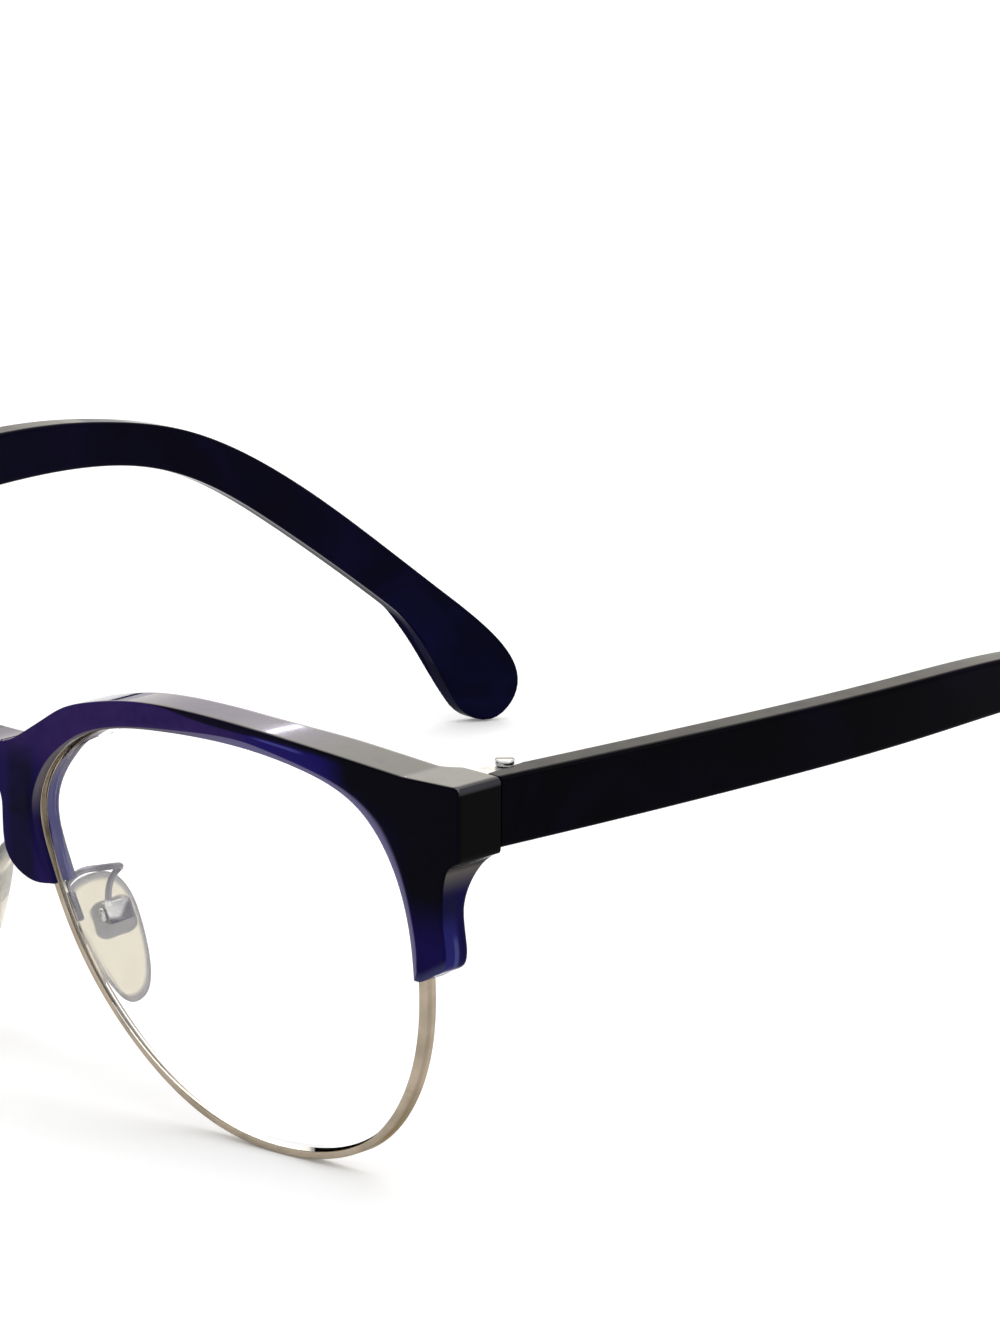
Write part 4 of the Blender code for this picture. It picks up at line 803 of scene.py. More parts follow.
def nearest(places, points):
    """How far each place lies from a chain of points."""
    starts, steps = points[:-1], np.diff(points, axis=0)
    spans = np.maximum((steps**2).sum(axis=1), 1e-18)
    least = np.full(len(places), np.inf)
    for start, step, span in zip(starts, steps, spans):
        from_start = places - start
        share = np.clip(from_start @ step / span, 0.0, 1.0)
        least = np.minimum(least, lengths(from_start - share[:, None] * step))
    return least


def quarter_round(distance, radius):
    """How far a rounded edge falls back at a distance inside the outline."""
    inside = np.clip(radius - distance, 0.0, radius)
    return radius - np.sqrt(radius**2 - inside**2)


def smooth_step(value, start, end):
    share = np.clip((value - start) / (end - start), 0.0, 1.0)
    return share * share * (3 - 2 * share)


def graded(count, length, first, last):
    """Shares of a length: a few points close to each end where an edge is rounded, the rest even."""
    middle = np.linspace(first, length - last, count + 1 - 2 * EDGE_ROWS)[1:-1]
    return np.concatenate([EDGE_STEPS * first, middle, length - EDGE_STEPS[::-1] * last]) / length


def row_shares(row, rows, length, first, last, first_steps=EDGE_STEPS):
    """The same for the rows of a slab, from one edge to the other, whose widths vary along it."""
    even = np.clip((row - EDGE_ROWS) / (rows - 2 * EDGE_ROWS), 0, 1)
    shares = (first + even * (length - first - last)) / length
    near = first_steps[np.clip(row, 0, EDGE_ROWS)]
    shares = np.where(row < EDGE_ROWS, first * near / length, shares)
    far = EDGE_STEPS[np.clip(rows - row, 0, EDGE_ROWS)]
    return np.where(row > rows - EDGE_ROWS, 1 - last * far / length, shares)


def slab(columns, rows, place, front, back, upright):
    """A grid primitive laid on a shape and thickened: a slab with a front face, a wall and a back face.

    place turns grid counts into places of the flat shape, and front and back give the two depths there."""
    piece = fresh(bpy.ops.mesh.primitive_grid_add, x_subdivisions=columns, y_subdivisions=rows, size=1.0)
    pick(piece)
    for _ in WALL_SHARES[1:]:
        bpy.ops.mesh.extrude_region_move(TRANSFORM_OT_translate={"value": (0.0, 0.0, 1.0)})
    done_editing()

    def laid(at):
        column = np.rint((at[:, 0] + 0.5) * columns).astype(int)
        row = np.rint((at[:, 1] + 0.5) * rows).astype(int)
        level = np.array(WALL_SHARES)[np.rint(at[:, 2]).astype(int)]
        flat = place(column, row)
        depth = front(flat) * (1 - level) + back(flat) * level
        return upright(flat, depth)

    mark = piece.data.attributes.new("sheet", "FLOAT_VECTOR", "CORNER")
    at = np.array([piece.data.vertices[loop.vertex_index].co for loop in piece.data.loops])
    mark.data.foreach_set("vector", ((at + (0.5, 0.5, 0.0)) / (1.0, 1.0, len(WALL_SHARES) - 1)).ravel())
    moved(piece, laid)
    turned_out(piece)
    return piece


brow = [in_rim(a, u) for a, u in BROW_SHARES]
top_corner = (FRONT_HALF_WIDTH, ENDPIECE_TOP)
low_corner = (FRONT_HALF_WIDTH, ENDPIECE_BOTTOM)
side_leg = [(FRONT_HALF_WIDTH - s * LEG_INSET, LENS_Z + u * RIM_HALF_HEIGHT) for s, u in SIDE_LEG_SHARES]
nose_leg = [in_rim(a, u) for a, u in NOSE_LEG_SHARES]
crown_z = SADDLE_Z - BRIDGE_THICKNESS
arch_x, arch_z = nose_leg[-1]
shoulder = (arch_x * ARCH_SHOULDER_SHARES[0], crown_z - (crown_z - arch_z) * ARCH_SHOULDER_SHARES[1])
arch = nose_leg + [shoulder, (0.0, crown_z), (-shoulder[0], shoulder[1])]
arch += [(-x, z) for x, z in reversed(nose_leg)]
arch = run_of(arch)
top_line = run_of([(-x, z) for x, z in reversed(brow)] + [(0.0, SADDLE_Z)] + brow)
corners = [
    corner(top_corner, brow[-1], low_corner, CORNER_ROUND),
    corner(low_corner, top_corner, side_leg[0], CORNER_ROUND),
]
left_arch = np.vstack([arch[arch[:, 0] > 0], [(0.0, crown_z)]])
left_top = np.vstack([[(0.0, SADDLE_Z)], top_line[top_line[:, 0] > 0]])
left_side = np.vstack(corners + [run_of(side_leg)])
opening = rim_outline(-RIM_INSIDE_LENS, 4 * LENS_POINTS)
turn = np.arctan2(opening[:, 1] - LENS_Z, opening[:, 0] - LENS_X)


def where_crossed(chain, nose):
    """Where a chain of points leaves the lens opening: its first point outside, as a count."""
    inside = np.array([point_inside(point) for point in chain])
    return int(np.argmax(~inside)) if nose else int(len(chain) - np.argmax(~inside[::-1]))


def point_inside(point):
    """Whether a point of the front view lies in the lens opening."""
    middle = np.array([LENS_X, LENS_Z])
    direction = math.atan2(point[1] - LENS_Z, point[0] - LENS_X)
    there = opening[np.argmin(np.abs(np.angle(np.exp(1j * (turn - direction)))))]
    return np.linalg.norm(point - middle) < np.linalg.norm(there - middle)


def opening_at(degrees):
    """Points of the lens opening in these directions from the lens's middle."""
    order = np.argsort(turn)
    wide = np.concatenate([turn[order] - 2 * math.pi, turn[order], turn[order] + 2 * math.pi])
    points = np.vstack([opening[order]] * 3)
    radians = np.radians(degrees)
    return np.stack([np.interp(radians, wide, points[:, k]) for k in (0, 1)], axis=-1)


def direction_of(point):
    return math.degrees(math.atan2(point[1] - LENS_Z, point[0] - LENS_X))


nose_start = where_crossed(left_arch, nose=True)
side_end = where_crossed(left_side, nose=False)
nose_tip = left_arch[nose_start]
side_tip = left_side[side_end - 1]
outer = np.vstack([left_arch[nose_start:], left_top, left_side[:side_end]])
saddle_part = len(left_arch) - nose_start
outer_place, outer_length = walk(outer)
way = np.linspace(0, 1, 4000)
along_outer = outer_place(way)


def share_at(point):
    """The share of the outline's length at its place nearest to a point."""
    return way[np.argmin(lengths(along_outer - np.array(point)))]


# Points of the outline, and the direction from the lens's middle in which the sheet's column that
# starts there meets the lens opening
KEY_COLUMNS = (
    (nose_tip, direction_of(nose_tip) % 360),
    (nose_leg[5], 171.0),
    (nose_leg[8], 165.5),
    (shoulder, 161.0),
    ((0.0, crown_z), 157.0),
    ((0.0, SADDLE_Z), 150.0),
    (brow[3], 137.5),
    (brow[6], 112.0),
    (brow[8], 80.0),
    (corners[0][3], 36.0),
    (corners[1][3], 26.0),
    (side_leg[3], 15.0),
    (side_leg[8], 6.0),
    (side_tip, direction_of(side_tip)),
)
directions = [degrees for _, degrees in KEY_COLUMNS]
column_shares = graded(FRONT_COLUMNS, outer_length, COLUMN_EDGE, COLUMN_EDGE)
outer_points = outer_place(column_shares)
key_shares = [share_at(point) for point, _ in KEY_COLUMNS]
inner_points = opening_at(np.interp(column_shares, key_shares, directions))
opening_arc = opening_at(np.linspace(directions[0], directions[-1], 400))


def front_place(column, row):
    """Places of the flat front between the lens opening and the outline."""
    start, end = inner_points[column], outer_points[column]
    length = lengths(end - start)
    roll = np.minimum(ROLL_WIDTH, ROLL_WIDEST_SHARE * length)
    edge = np.minimum(FRONT_EDGE_ROUND, EDGE_WIDEST_SHARE * length)
    shares = row_shares(row, FRONT_ROWS, length, roll, edge, ROLL_STEPS)
    return start + (end - start) * shares[:, None]


def from_outline(flat):
    """How far inside the outline a place is, not counting the line through the bridge's middle."""
    return np.minimum(nearest(flat, outer[:saddle_part]), nearest(flat, outer[saddle_part:]))


def front_faces(flat):
    distance = from_outline(flat)
    roll = ROLL_DEPTH * (1 - np.clip(nearest(flat, opening_arc) / ROLL_WIDTH, 0, 1)) ** ROLL_CURVE
    return set_back(flat[:, 0]) + FRONT_FACE + np.maximum(quarter_round(distance, CRISP_EDGE), roll)


def back_faces(flat):
    across = (flat[:, 0] - LENS_X) / RIM_HALF_WIDTH
    up = (flat[:, 1] - LENS_Z) / RIM_HALF_HEIGHT
    depth = BROW_BACK + (BROW_BACK_SIDE - BROW_BACK) * smooth_step(across, *SIDE_BACK_ACROSS_SHARES)
    faced = JOINT_FACE + FRONT_EDGE_ROUND * 2 - set_back(flat[:, 0])
    depth = depth + (faced - depth) * smooth_step(across, *FACED_ACROSS_SHARES)
    low, high = LEG_TAPER_UP_SHARES
    rise = np.clip((up - low) / (high - low), 0.0, 1.0) ** 2
    leg_back = NOSE_LEG_BACK + (LEG_BACK - NOSE_LEG_BACK) * smooth_step(across, *LEG_BACK_ACROSS_SHARES)
    depth = leg_back + (depth - leg_back) * rise
    distance = np.minimum(from_outline(flat), nearest(flat, opening_arc))
    return set_back(flat[:, 0]) + depth - quarter_round(distance, FRONT_EDGE_ROUND)


front = slab(FRONT_COLUMNS, FRONT_ROWS, front_place, front_faces, back_faces, in_front_view)
pick(front, "faces", lambda face: all(abs(vertex.co.x) < CLOSE for vertex in face.verts))
bpy.ops.mesh.delete(type="FACE")
bpy.ops.mesh.select_all(action="SELECT")
cut = {"plane_co": (0, JOINT_FACE, 0), "plane_no": (0, 1, 0), "threshold": WELD}
bpy.ops.mesh.bisect(clear_outer=True, use_fill=True, **cut)
done_editing()
beyond = RIM_OUTSIDE_LENS + GROOVE_CLEARANCE
ring = band(beyond, -GROOVE_HALF_DEPTH, (2 * GROOVE_HALF_DEPTH,), 2 * ROLL_WIDTH, -1)
bent(ring)
boolean(front, ring, "DIFFERENCE")
low = (
    block_x - BLOCK_ROOT - RIM_INSIDE_LENS - RIM_OUTSIDE_LENS,
    set_back(block_x) - GROOVE_HALF_DEPTH,
    block_z - BLOCK_HALF_HEIGHT - LOCK_HEAD_HEIGHT - LOCK_SEAT - BLOCK_CLEARANCE,
)
high = (block_x + BLOCK_REACH + BLOCK_CLEARANCE, JOINT_FACE, block_z + BLOCK_HALF_HEIGHT + BLOCK_CLEARANCE)
boolean(front, cube(low, high), "DIFFERENCE")
pick(front, "verts", lambda vertex: vertex.co.x < NOSE_FOOT_END and vertex.co.z < NOSE_FOOT_TOP)
bpy.ops.mesh.dissolve_degenerate(threshold=SLIVER)
done_editing()
# Slivers at the foot's tip leave flaps that hang on by one side; the open line at x = 0 stays
pick(front, "faces", lambda face: face.verts[0].co.x > MM and any(edge.is_boundary for edge in face.edges))
bpy.ops.mesh.delete(type="FACE")
done_editing()
pick(front, "edges", lambda edge: edge.is_boundary and edge.verts[0].co.x > MM)
bpy.ops.mesh.fill_holes(sides=8)
done_editing()

navy, shader, place = new_finish(
    "navy_front_acetate", {"IOR": 1.45, "Specular IOR Level": 0.03, "Coat Roughness": 0.04}
)
x, y, z = place.parts()
side = x.size()
along, across, _ = place.add("Attribute", {"attribute_name": "sheet"}, {}, 1).parts()
depth = y + FRAME_BACK - set_back(side)
saddle_at, turn_at, low_corner_at = (share_at(p) for p in ((0.0, SADDLE_Z), corners[0][0], corners[1][3]))
swirl = noise(place, 85.0, detail=4.0, roughness=0.55, distortion=1.2).between(0.35, 0.72)
fleck = noise(place, 900.0, detail=3.0).between(0.3, 0.75)
on_face = 1 - depth.between(-1.5 * MM, -0.9 * MM)
violet = (swirl * 0.6).blend((0.026, 0.0115, 0.088), (0.011, 0.006, 0.062))
night_blue = swirl.blend((0.0012, 0.0009, 0.011), (0.0004, 0.0004, 0.0035))
to_temple = side.between(40.0 * MM, 53.0 * MM)
face = to_temple.blend((fleck * 0.3).blend(violet, (0.036, 0.020, 0.10)), night_blue)
nose = (1 - side.between(9.5 * MM, 12.5 * MM)) * (1 - z.between(34.0 * MM, 38.0 * MM))
dark_core = side.near(7.4 * MM, 2.6 * MM) * (swirl * 0.4 + 0.6)
face = nose.blend(face, dark_core.blend((0.009, 0.0048, 0.06), (0.0022, 0.002, 0.011)))
dark_from = 1 - side.between(23.0 * MM, 35.0 * MM) * 0.38 - side.between(44.0 * MM, 54.0 * MM) * 0.3
shade = (across - dark_from).between(-0.05, 0.05) * on_face
face = (shade * 0.9).blend(face, (0.0007, 0.0006, 0.0026))
# Painted blue glow on the front face near the lens opening, towards the temple
painted_blue_glow = side.near(45.0 * MM, 8.0 * MM) * across.near(0.45, 0.34) * on_face
face = (painted_blue_glow * 0.8).blend(face, (0.010, 0.006, 0.115))
# Painted highlight: a pale blue streak across the front face near the brow's end
painted_highlight_streak = side.near(43.5 * MM, 4.0 * MM) * across.near(0.6, 0.07) * on_face
face = (painted_highlight_streak * 0.6).blend(face, (0.07, 0.07, 0.30))
# Painted blue glow low on the temple-side leg's front face
low_leg_glow = side.between(54.0 * MM, 58.0 * MM) * (1 - z.between(25.5 * MM, 31.5 * MM))
face = low_leg_glow.blend(face, swirl.blend((0.0045, 0.002, 0.045), (0.007, 0.003, 0.066)))
# Painted highlight along the rounded foot of the temple-side leg
above_foot = z - (side - 61.8 * MM).maths("MAXIMUM", side - 61.8 * MM, 0.0) * 0.6
painted_foot_highlight = (1 - above_foot.between(22.2 * MM, 23.3 * MM)) * side.between(59.0 * MM, 60.0 * MM)
face = (painted_foot_highlight * 0.7).blend(face, (0.05, 0.055, 0.13))
outer_wall = across.between(0.985, 0.998)
# Painted shade: the endpiece's outer end wall darkened to near black
end_wall_painted_shade = outer_wall * along.between(turn_at, turn_at + 0.004)
face = end_wall_painted_shade.blend(face, (0.0006, 0.0006, 0.001))
# Painted light on the temple-side leg's wall: a blue glow, a grey painted reflection at its top under the
# endpiece, and a painted gleam low down near its front edge
painted_leg_wall_light = outer_wall * along.between(low_corner_at + 0.004, low_corner_at + 0.012)
behind = depth.between(-0.3 * MM, 0.7 * MM)
glow_blue = (swirl * 0.5).blend((0.015, 0.014, 0.12), (0.008, 0.005, 0.06))
glow_blue = z.between(27.0 * MM, 30.0 * MM).blend(glow_blue, (0.0045, 0.004, 0.034))
glow_blue = behind.blend(glow_blue, (0.0045, 0.0025, 0.042))
wall_glow_and_reflection = z.between(31.0 * MM, 34.5 * MM).blend(glow_blue, (0.11, 0.10, 0.088))
gleam = depth.near(-0.15 * MM, 0.4 * MM) * z.near(25.2 * MM, 2.2 * MM)
face = painted_leg_wall_light.blend(face, (gleam * 0.4).blend(wall_glow_and_reflection, (0.10, 0.11, 0.28)))
inner_wall = 1 - across.between(0.002, 0.015)
rear_inside = inner_wall * depth.between(0.5 * MM, 0.9 * MM) * (1 - side.between(28.0 * MM, 34.0 * MM))
rear_colour = z.between(31.0 * MM, 37.0 * MM).blend((0.009, 0.006, 0.15), (0.035, 0.018, 0.06))
face = rear_inside.blend(face, rear_colour)
temporal = side.between(20.0 * MM, 40.0 * MM)
# Painted reflection on the rolled lip of the lens opening: dark blue low and grey high on the nose side,
# pale violet towards the temple
lip_reflection = 1 - (across + 0.13 - temporal * 0.13).between(0.225, 0.262)
lip_reflection = lip_reflection * (1 - depth.between(-0.95 * MM, -0.85 * MM))
nose_lip_reflection = z.between(28.5 * MM, 33.5 * MM).blend((0.012, 0.008, 0.06), (0.12, 0.108, 0.12))
lead(lip_reflection.blend(face, temporal.blend(nose_lip_reflection, (0.125, 0.112, 0.225))), shader, "Base Color")
rubbed = noise(place, 420.0, detail=5.0).between(0.45, 0.8)
lead(rubbed * 0.05 + 0.06, shader, "Roughness")
top_wall = across.between(0.93, 0.998) * along.between(saddle_at - 0.004, saddle_at)
top_wall = top_wall * (1 - along.between(turn_at, turn_at + 0.004)) * (1 - side.near(10.5 * MM, 7.5 * MM))
polish = side.between(28.0 * MM, 42.0 * MM) * 0.38 + 0.48
lead(top_wall * polish * (rubbed * -0.1 + 1.0), shader, "Coat Weight")
bumped(shader, noise(place, 260.0, detail=2.0), 0.05, 0.05 * MM)
modified(front, "MIRROR", use_clip=True, merge_threshold=CLOSE, use_mirror_merge=True)
turned_out(front)
front.name = "fine_brow_front"
handed_over(front, navy, "front", ["brow_front"], 32.0)

# The two nose pads: soft clear silicone, crowned towards the nose, moulded over a hard lobed insert
# whose tongue stands in the pad arm's box. They rock a little on the pad screws.
DEGREE = math.pi / 180
PAD_BEYOND_LENS_EDGE = 0.5 * MM
PAD_BACK = 9.0 * MM
PAD_BELOW_LENS_CENTRE = 7.4 * MM
PAD_HALF_WIDTH = 3.75 * MM
PAD_HALF_HEIGHT = 7.1 * MM
PAD_CROWN = 1.45 * MM
PAD_REAR_CROWN = 0.45 * MM
PAD_SPLAY = 27.0 * DEGREE
PAD_FLARE = 17.0 * DEGREE
PAD_TILT = 13.5 * DEGREE
PAD_POINTS = 72
PAD_RING_TURNS = (8, 17, 27, 38, 50, 63, 77)
PAD_OUTLINE_SHARES = (
    (0.05, 1.00),
    (0.62, 0.93),
    (0.98, 0.62),
    (1.06, 0.24),
    (1.00, -0.28),
    (0.83, -0.70),
    (0.48, -0.97),
    (0.10, -1.00),
    (-0.22, -0.80),
    (-0.50, -0.38),
    (-0.72, 0.12),
    (-0.84, 0.58),
    (-0.56, 0.92),
)
PAD_AXIS_UP = 2.8 * MM
PAD_AXIS_BACK = 1.2 * MM
PAD_AXIS_OUT = 2.3 * MM
INSERT_DROP = 0.8 * MM
INSERT_HALF_WIDTH = 2.4 * MM
INSERT_HALF_HEIGHT = 2.1 * MM
INSERT_THICKNESS = 0.6 * MM
INSERT_LOBES = 4
INSERT_LOBE_SHARE = 0.10
INSERT_CLEARANCE = 0.12 * MM
INSERT_EDGE_ROUND = 0.12 * MM
PAD_REAR_STEEPNESS = 1.25
STUD_WIDTH = 1.3 * MM
STUD_RADIUS = 0.85 * MM
STUD_BORE_RADIUS = 0.5 * MM

back = Vector((math.sin(PAD_SPLAY), math.cos(PAD_SPLAY), 0.0))
up = Vector((-math.sin(PAD_FLARE), 0.0, math.cos(PAD_FLARE)))
up = (up - back * up.dot(back)).normalized()
turned_so = Matrix((back, up, back.cross(up))).transposed().to_4x4() @ Matrix.Rotation(PAD_TILT, 4, "Z")
pad_middle = Vector((BRIDGE_WIDTH / 2 + PAD_BEYOND_LENS_EDGE, PAD_BACK, LENS_Z - PAD_BELOW_LENS_CENTRE))
on_pad = Matrix.Translation(pad_middle) @ turned_so


def lobed(grow, low, high):
    """A circle primitive shaped to the insert's four lobes, filled and drawn out to a plate."""

    def shaped(at):
        turn = np.arctan2(at[:, 1], at[:, 0])
        lobe = 1 + INSERT_LOBE_SHARE * np.cos(INSERT_LOBES * turn + math.pi)
        x = PAD_AXIS_BACK + (INSERT_HALF_WIDTH * lobe + grow) * np.cos(turn)
        y = PAD_AXIS_UP - INSERT_DROP + (INSERT_HALF_HEIGHT * lobe + grow) * np.sin(turn)
        return np.stack([x, y, np.full(len(at), low)], axis=1)

    plate = shaped_circle(PAD_POINTS, shaped, "NGON")
    pick(plate, "faces")
    bpy.ops.mesh.extrude_region_move(TRANSFORM_OT_translate={"value": (0.0, 0.0, high - low)})
    done_editing()
    turned_out(plate)
    return plate


def pin(radius, half_length):
    """A cylinder primitive along the axis that the pad rocks about."""
    ends = [(PAD_AXIS_BACK + s * half_length, PAD_AXIS_UP, PAD_AXIS_OUT) for s in (-1, 1)]
    return rod(radius, *ends)


pad_points = [(a * PAD_HALF_WIDTH, u * PAD_HALF_HEIGHT) for a, u in PAD_OUTLINE_SHARES]
pad_edge = spread(pad_points, PAD_POINTS, closed=True)
pad = shaped_circle(PAD_POINTS, lambda at: np.column_stack([pad_edge, np.zeros(PAD_POINTS)]))
for height in (-PAD_CROWN, PAD_REAR_CROWN):
    pick(pad, "verts", lambda vertex: vertex.co.z == 0.0)
    size, level = 1.0, 0.0
    for turn_up in PAD_RING_TURNS:
        radians = math.radians(turn_up)
        share = math.cos(radians)
        rise = math.sin(radians) if height < 0 else min(1.0, PAD_REAR_STEEPNESS * math.sin(radians))
        bpy.ops.mesh.extrude_edges_move()
        bpy.ops.transform.resize(value=(share / size, share / size, 1.0), center_override=(0, 0, 0))
        bpy.ops.transform.translate(value=(0.0, 0.0, height * rise - level))
        size, level = share, height * rise
    bpy.ops.mesh.extrude_edges_move()
    bpy.ops.mesh.merge(type="CENTER")
    done_editing()
turned_out(pad)
edge_turn = np.arctan2(pad_edge[:, 1], pad_edge[:, 0])
order = np.argsort(edge_turn)
flat = np.array([vertex.co.xy for vertex in pad.data.vertices])
edge_there = np.interp(
    np.arctan2(flat[:, 1], flat[:, 0]),
    edge_turn[order],
    lengths(pad_edge)[order],
    period=2 * math.pi,
)
mark = pad.data.attributes.new("outwards", "FLOAT", "POINT")
mark.data.foreach_set("value", lengths(flat) / edge_there)
modified(pad, "SUBSURF", levels=1, render_levels=1)
seat_floor = PAD_REAR_CROWN - INSERT_THICKNESS - INSERT_CLEARANCE
boolean(pad, lobed(INSERT_CLEARANCE, seat_floor, PAD_REAR_CROWN + INSERT_THICKNESS), "DIFFERENCE")
pad.data.transform(on_pad)

silicone, shader, place = new_finish(
    "clear_silicone",
    {"IOR": 1.42, "Transmission Weight": 0.95, "Alpha": 0.9, "Specular IOR Level": 0.3},
)
milky = noise(place, 300.0, detail=3.0).between(0.3, 0.8)
body = milky.blend((0.60, 0.545, 0.42), (0.56, 0.51, 0.39))
# Painted shade: a dark grey ring along the pad's rounded border, where the clear silicone looks darker by
# refraction
painted_edge_shade = place.add("Attribute", {"attribute_name": "outwards"}, {}, 2).between(0.84, 0.93)
lead(painted_edge_shade.blend(body, (0.18, 0.165, 0.17)), shader, "Base Color")
lead(milky * 0.14 + 0.12, shader, "Roughness")
bumped(shader, noise(place, 900.0, detail=2.0), 0.08, 0.02 * MM)
both_sides(pad, "nose_pad", silicone, "nose_rest", smooth=40.0)

insert = lobed(0.0, PAD_REAR_CROWN - INSERT_THICKNESS, PAD_REAR_CROWN)
rounded(insert, INSERT_EDGE_ROUND)
tongue_foot = PAD_REAR_CROWN - INSERT_THICKNESS / 2
low = (PAD_AXIS_BACK - STUD_WIDTH / 2, PAD_AXIS_UP - STUD_RADIUS, tongue_foot)
high = (PAD_AXIS_BACK + STUD_WIDTH / 2, PAD_AXIS_UP + STUD_RADIUS, PAD_AXIS_OUT)
tongue = cube(low, high)
boolean(tongue, pin(STUD_RADIUS, STUD_WIDTH / 2), "UNION")
boolean(insert, tongue, "UNION")
boolean(insert, pin(STUD_BORE_RADIUS, 3 * STUD_WIDTH), "DIFFERENCE")
insert.data.transform(on_pad)
hard, shader, place = new_finish(
    "insert_plastic", {"IOR": 1.5, "Transmission Weight": 0.75, "Alpha": 0.8}
)
smoky = noise(place, 500.0, detail=3.0).between(0.3, 0.75)
lead(smoky.blend((0.46, 0.46, 0.48), (0.28, 0.29, 0.34)), shader, "Base Color")
lead(smoky * 0.12 + 0.08, shader, "Roughness")
both_sides(insert, "pad_insert", hard, "nose_rest")

# The two pad arms: a round wire brazed to the eyewire by a flat foot, which rises, swings out over
# the pad and comes down to the small open box that the pad's tongue and its screw stand in.
BOX_CLEARANCE = 0.1 * MM
BOX_CHEEK = 0.6 * MM
BOX_WEB = 0.5 * MM
BOX_WEB_GAP = 0.2 * MM
BOX_NOSE_REACH = 0.8 * MM
BOX_HALF_HEIGHT = 1.15 * MM
PAD_SHANK_RADIUS = 0.44 * MM
PAD_HEAD_RADIUS = 0.75 * MM
PAD_HEAD_HEIGHT = 0.4 * MM
ARM_RADIUS = 0.35 * MM
ARM_RISE = 4.8 * MM
ARM_SWING = 1.5 * MM
ARM_FOOT_UP_SHARE = -0.085
ARM_FOOT_LENGTH = 3.2 * MM
ARM_FOOT_WIDTH = 0.8 * MM
ARM_FOOT_THICKNESS = 0.8 * MM
ARM_SEAT = 0.08 * MM
ARM_SINK = 0.3 * MM
ARM_POINTS = 70
BOX_EDGE_ROUND = 0.22 * MM
ARM_FOOT_EDGE_ROUND = 0.24 * MM

# Arm from its foot to the pad box: share of the way, share of the rise, share of the swing outwards
ARM_SHARES = (
    (0.00, 0.00, 0.00),
    (0.13, 0.38, -1.25),
    (0.43, 0.68, -0.87),
    (0.80, 0.81, 0.10),
    (1.11, 0.88, 1.00),
    (1.14, 0.74, 0.50),
    (1.06, 0.46, 0.12),
)

inner = STUD_WIDTH / 2 + BOX_CLEARANCE
outer_wall = inner + BOX_CHEEK
web = PAD_AXIS_OUT + STUD_RADIUS + BOX_WEB_GAP
box_front = PAD_AXIS_OUT - BOX_NOSE_REACH
low_y, high_y = PAD_AXIS_UP - BOX_HALF_HEIGHT, PAD_AXIS_UP + BOX_HALF_HEIGHT
box_low = (PAD_AXIS_BACK - outer_wall, low_y, box_front)
arm = cube(box_low, (PAD_AXIS_BACK + outer_wall, high_y, web + BOX_WEB))
rounded(arm, BOX_EDGE_ROUND)
hollow = cube(
    (PAD_AXIS_BACK - inner, low_y - BOX_CHEEK, box_front - BOX_CHEEK),
    (PAD_AXIS_BACK + inner, high_y + BOX_CHEEK, web),
)
boolean(arm, hollow, "DIFFERENCE")
boolean(arm, pin(PAD_SHANK_RADIUS + LOCK_SEAT, 3 * STUD_WIDTH), "DIFFERENCE")
arm.data.transform(on_pad)
landing = PAD_AXIS_BACK - (inner + outer_wall) / 2
box_top = on_pad @ Vector((landing, high_y, web + BOX_WEB / 2))
box_in = on_pad @ Vector((landing, high_y - ARM_SINK, web + BOX_WEB / 2))
foot_height = LENS_Z + ARM_FOOT_UP_SHARE * RIM_HALF_HEIGHT
edge = rim_outline(0.0)
edge_out = (grown(edge, MM) - edge) / MM
nose_side = np.flatnonzero(edge[:, 0] < LENS_X)
nearest_there = nose_side[np.argmin(np.abs(edge[nose_side, 1] - foot_height))]
rim_x, rim_z = edge[nearest_there]
out_x, out_z = edge_out[nearest_there]
foot_y = set_back(rim_x) + RIM_DEPTH / 2 + ARM_SEAT
foot = Vector((rim_x, foot_y + ARM_FOOT_THICKNESS / 2, rim_z))
knots = [
    foot.lerp(box_top, share) + Vector((swing * ARM_SWING, 0, rise * ARM_RISE))
    for share, rise, swing in ARM_SHARES
]
path = spread([tuple(knot) for knot in knots + [box_in]], ARM_POINTS)
wire = fresh(bpy.ops.curve.primitive_nurbs_path_add)
wire.data.splines.clear()
spline = wire.data.splines.new("POLY")
spline.points.add(len(path) - 1)
for point, at in zip(spline.points, path):
    point.co = (*at, 1.0)
wire.data.bevel_depth = ARM_RADIUS
wire.data.bevel_resolution = 6
wire.data.use_fill_caps = True
only(wire)
bpy.ops.object.convert(target="MESH")
turned_out(wire)
boolean(arm, wire, "UNION")
half_foot = np.array((ARM_FOOT_WIDTH, ARM_FOOT_THICKNESS, ARM_FOOT_LENGTH)) / 2
brazed = cube(-half_foot, half_foot)
rounded(brazed, ARM_FOOT_EDGE_ROUND)
out_way = Vector((out_x, 0.0, out_z))
up_way = Vector((-out_z, 0.0, out_x))
turn_foot = Matrix((out_way, out_way.cross(up_way) * -1, up_way)).transposed().to_4x4()
brazed.data.transform(Matrix.Translation(foot) @ turn_foot)
turned_out(brazed)
boolean(arm, brazed, "UNION")
slate, shader, place = new_finish("slate_plating", {"Metallic": 1.0})
x, _, z = place.parts()
darkened = noise(place, 420.0, detail=4.0, distortion=0.5).between(0.35, 0.7)
plate = darkened.blend((0.17, 0.155, 0.18), (0.07, 0.066, 0.085))
# Painted reflection on the pad box: light above and dark blue below
box_painted_reflection = z.between(16.9 * MM, 17.5 * MM).blend((0.014, 0.016, 0.05), (0.62, 0.61, 0.60))
on_box = (1 - x.size().between(12.3 * MM, 12.6 * MM)) * (1 - z.between(18.7 * MM, 19.2 * MM))
lead(on_box.blend(plate, box_painted_reflection), shader, "Base Color")
drawn = noise(place, 4200.0, detail=2.0)
lead(darkened * 0.1 + drawn * 0.08 + 0.16, shader, "Roughness")
bumped(shader, drawn, 0.1, 0.01 * MM)
both_sides(arm, "pad_arm", slate, "front")

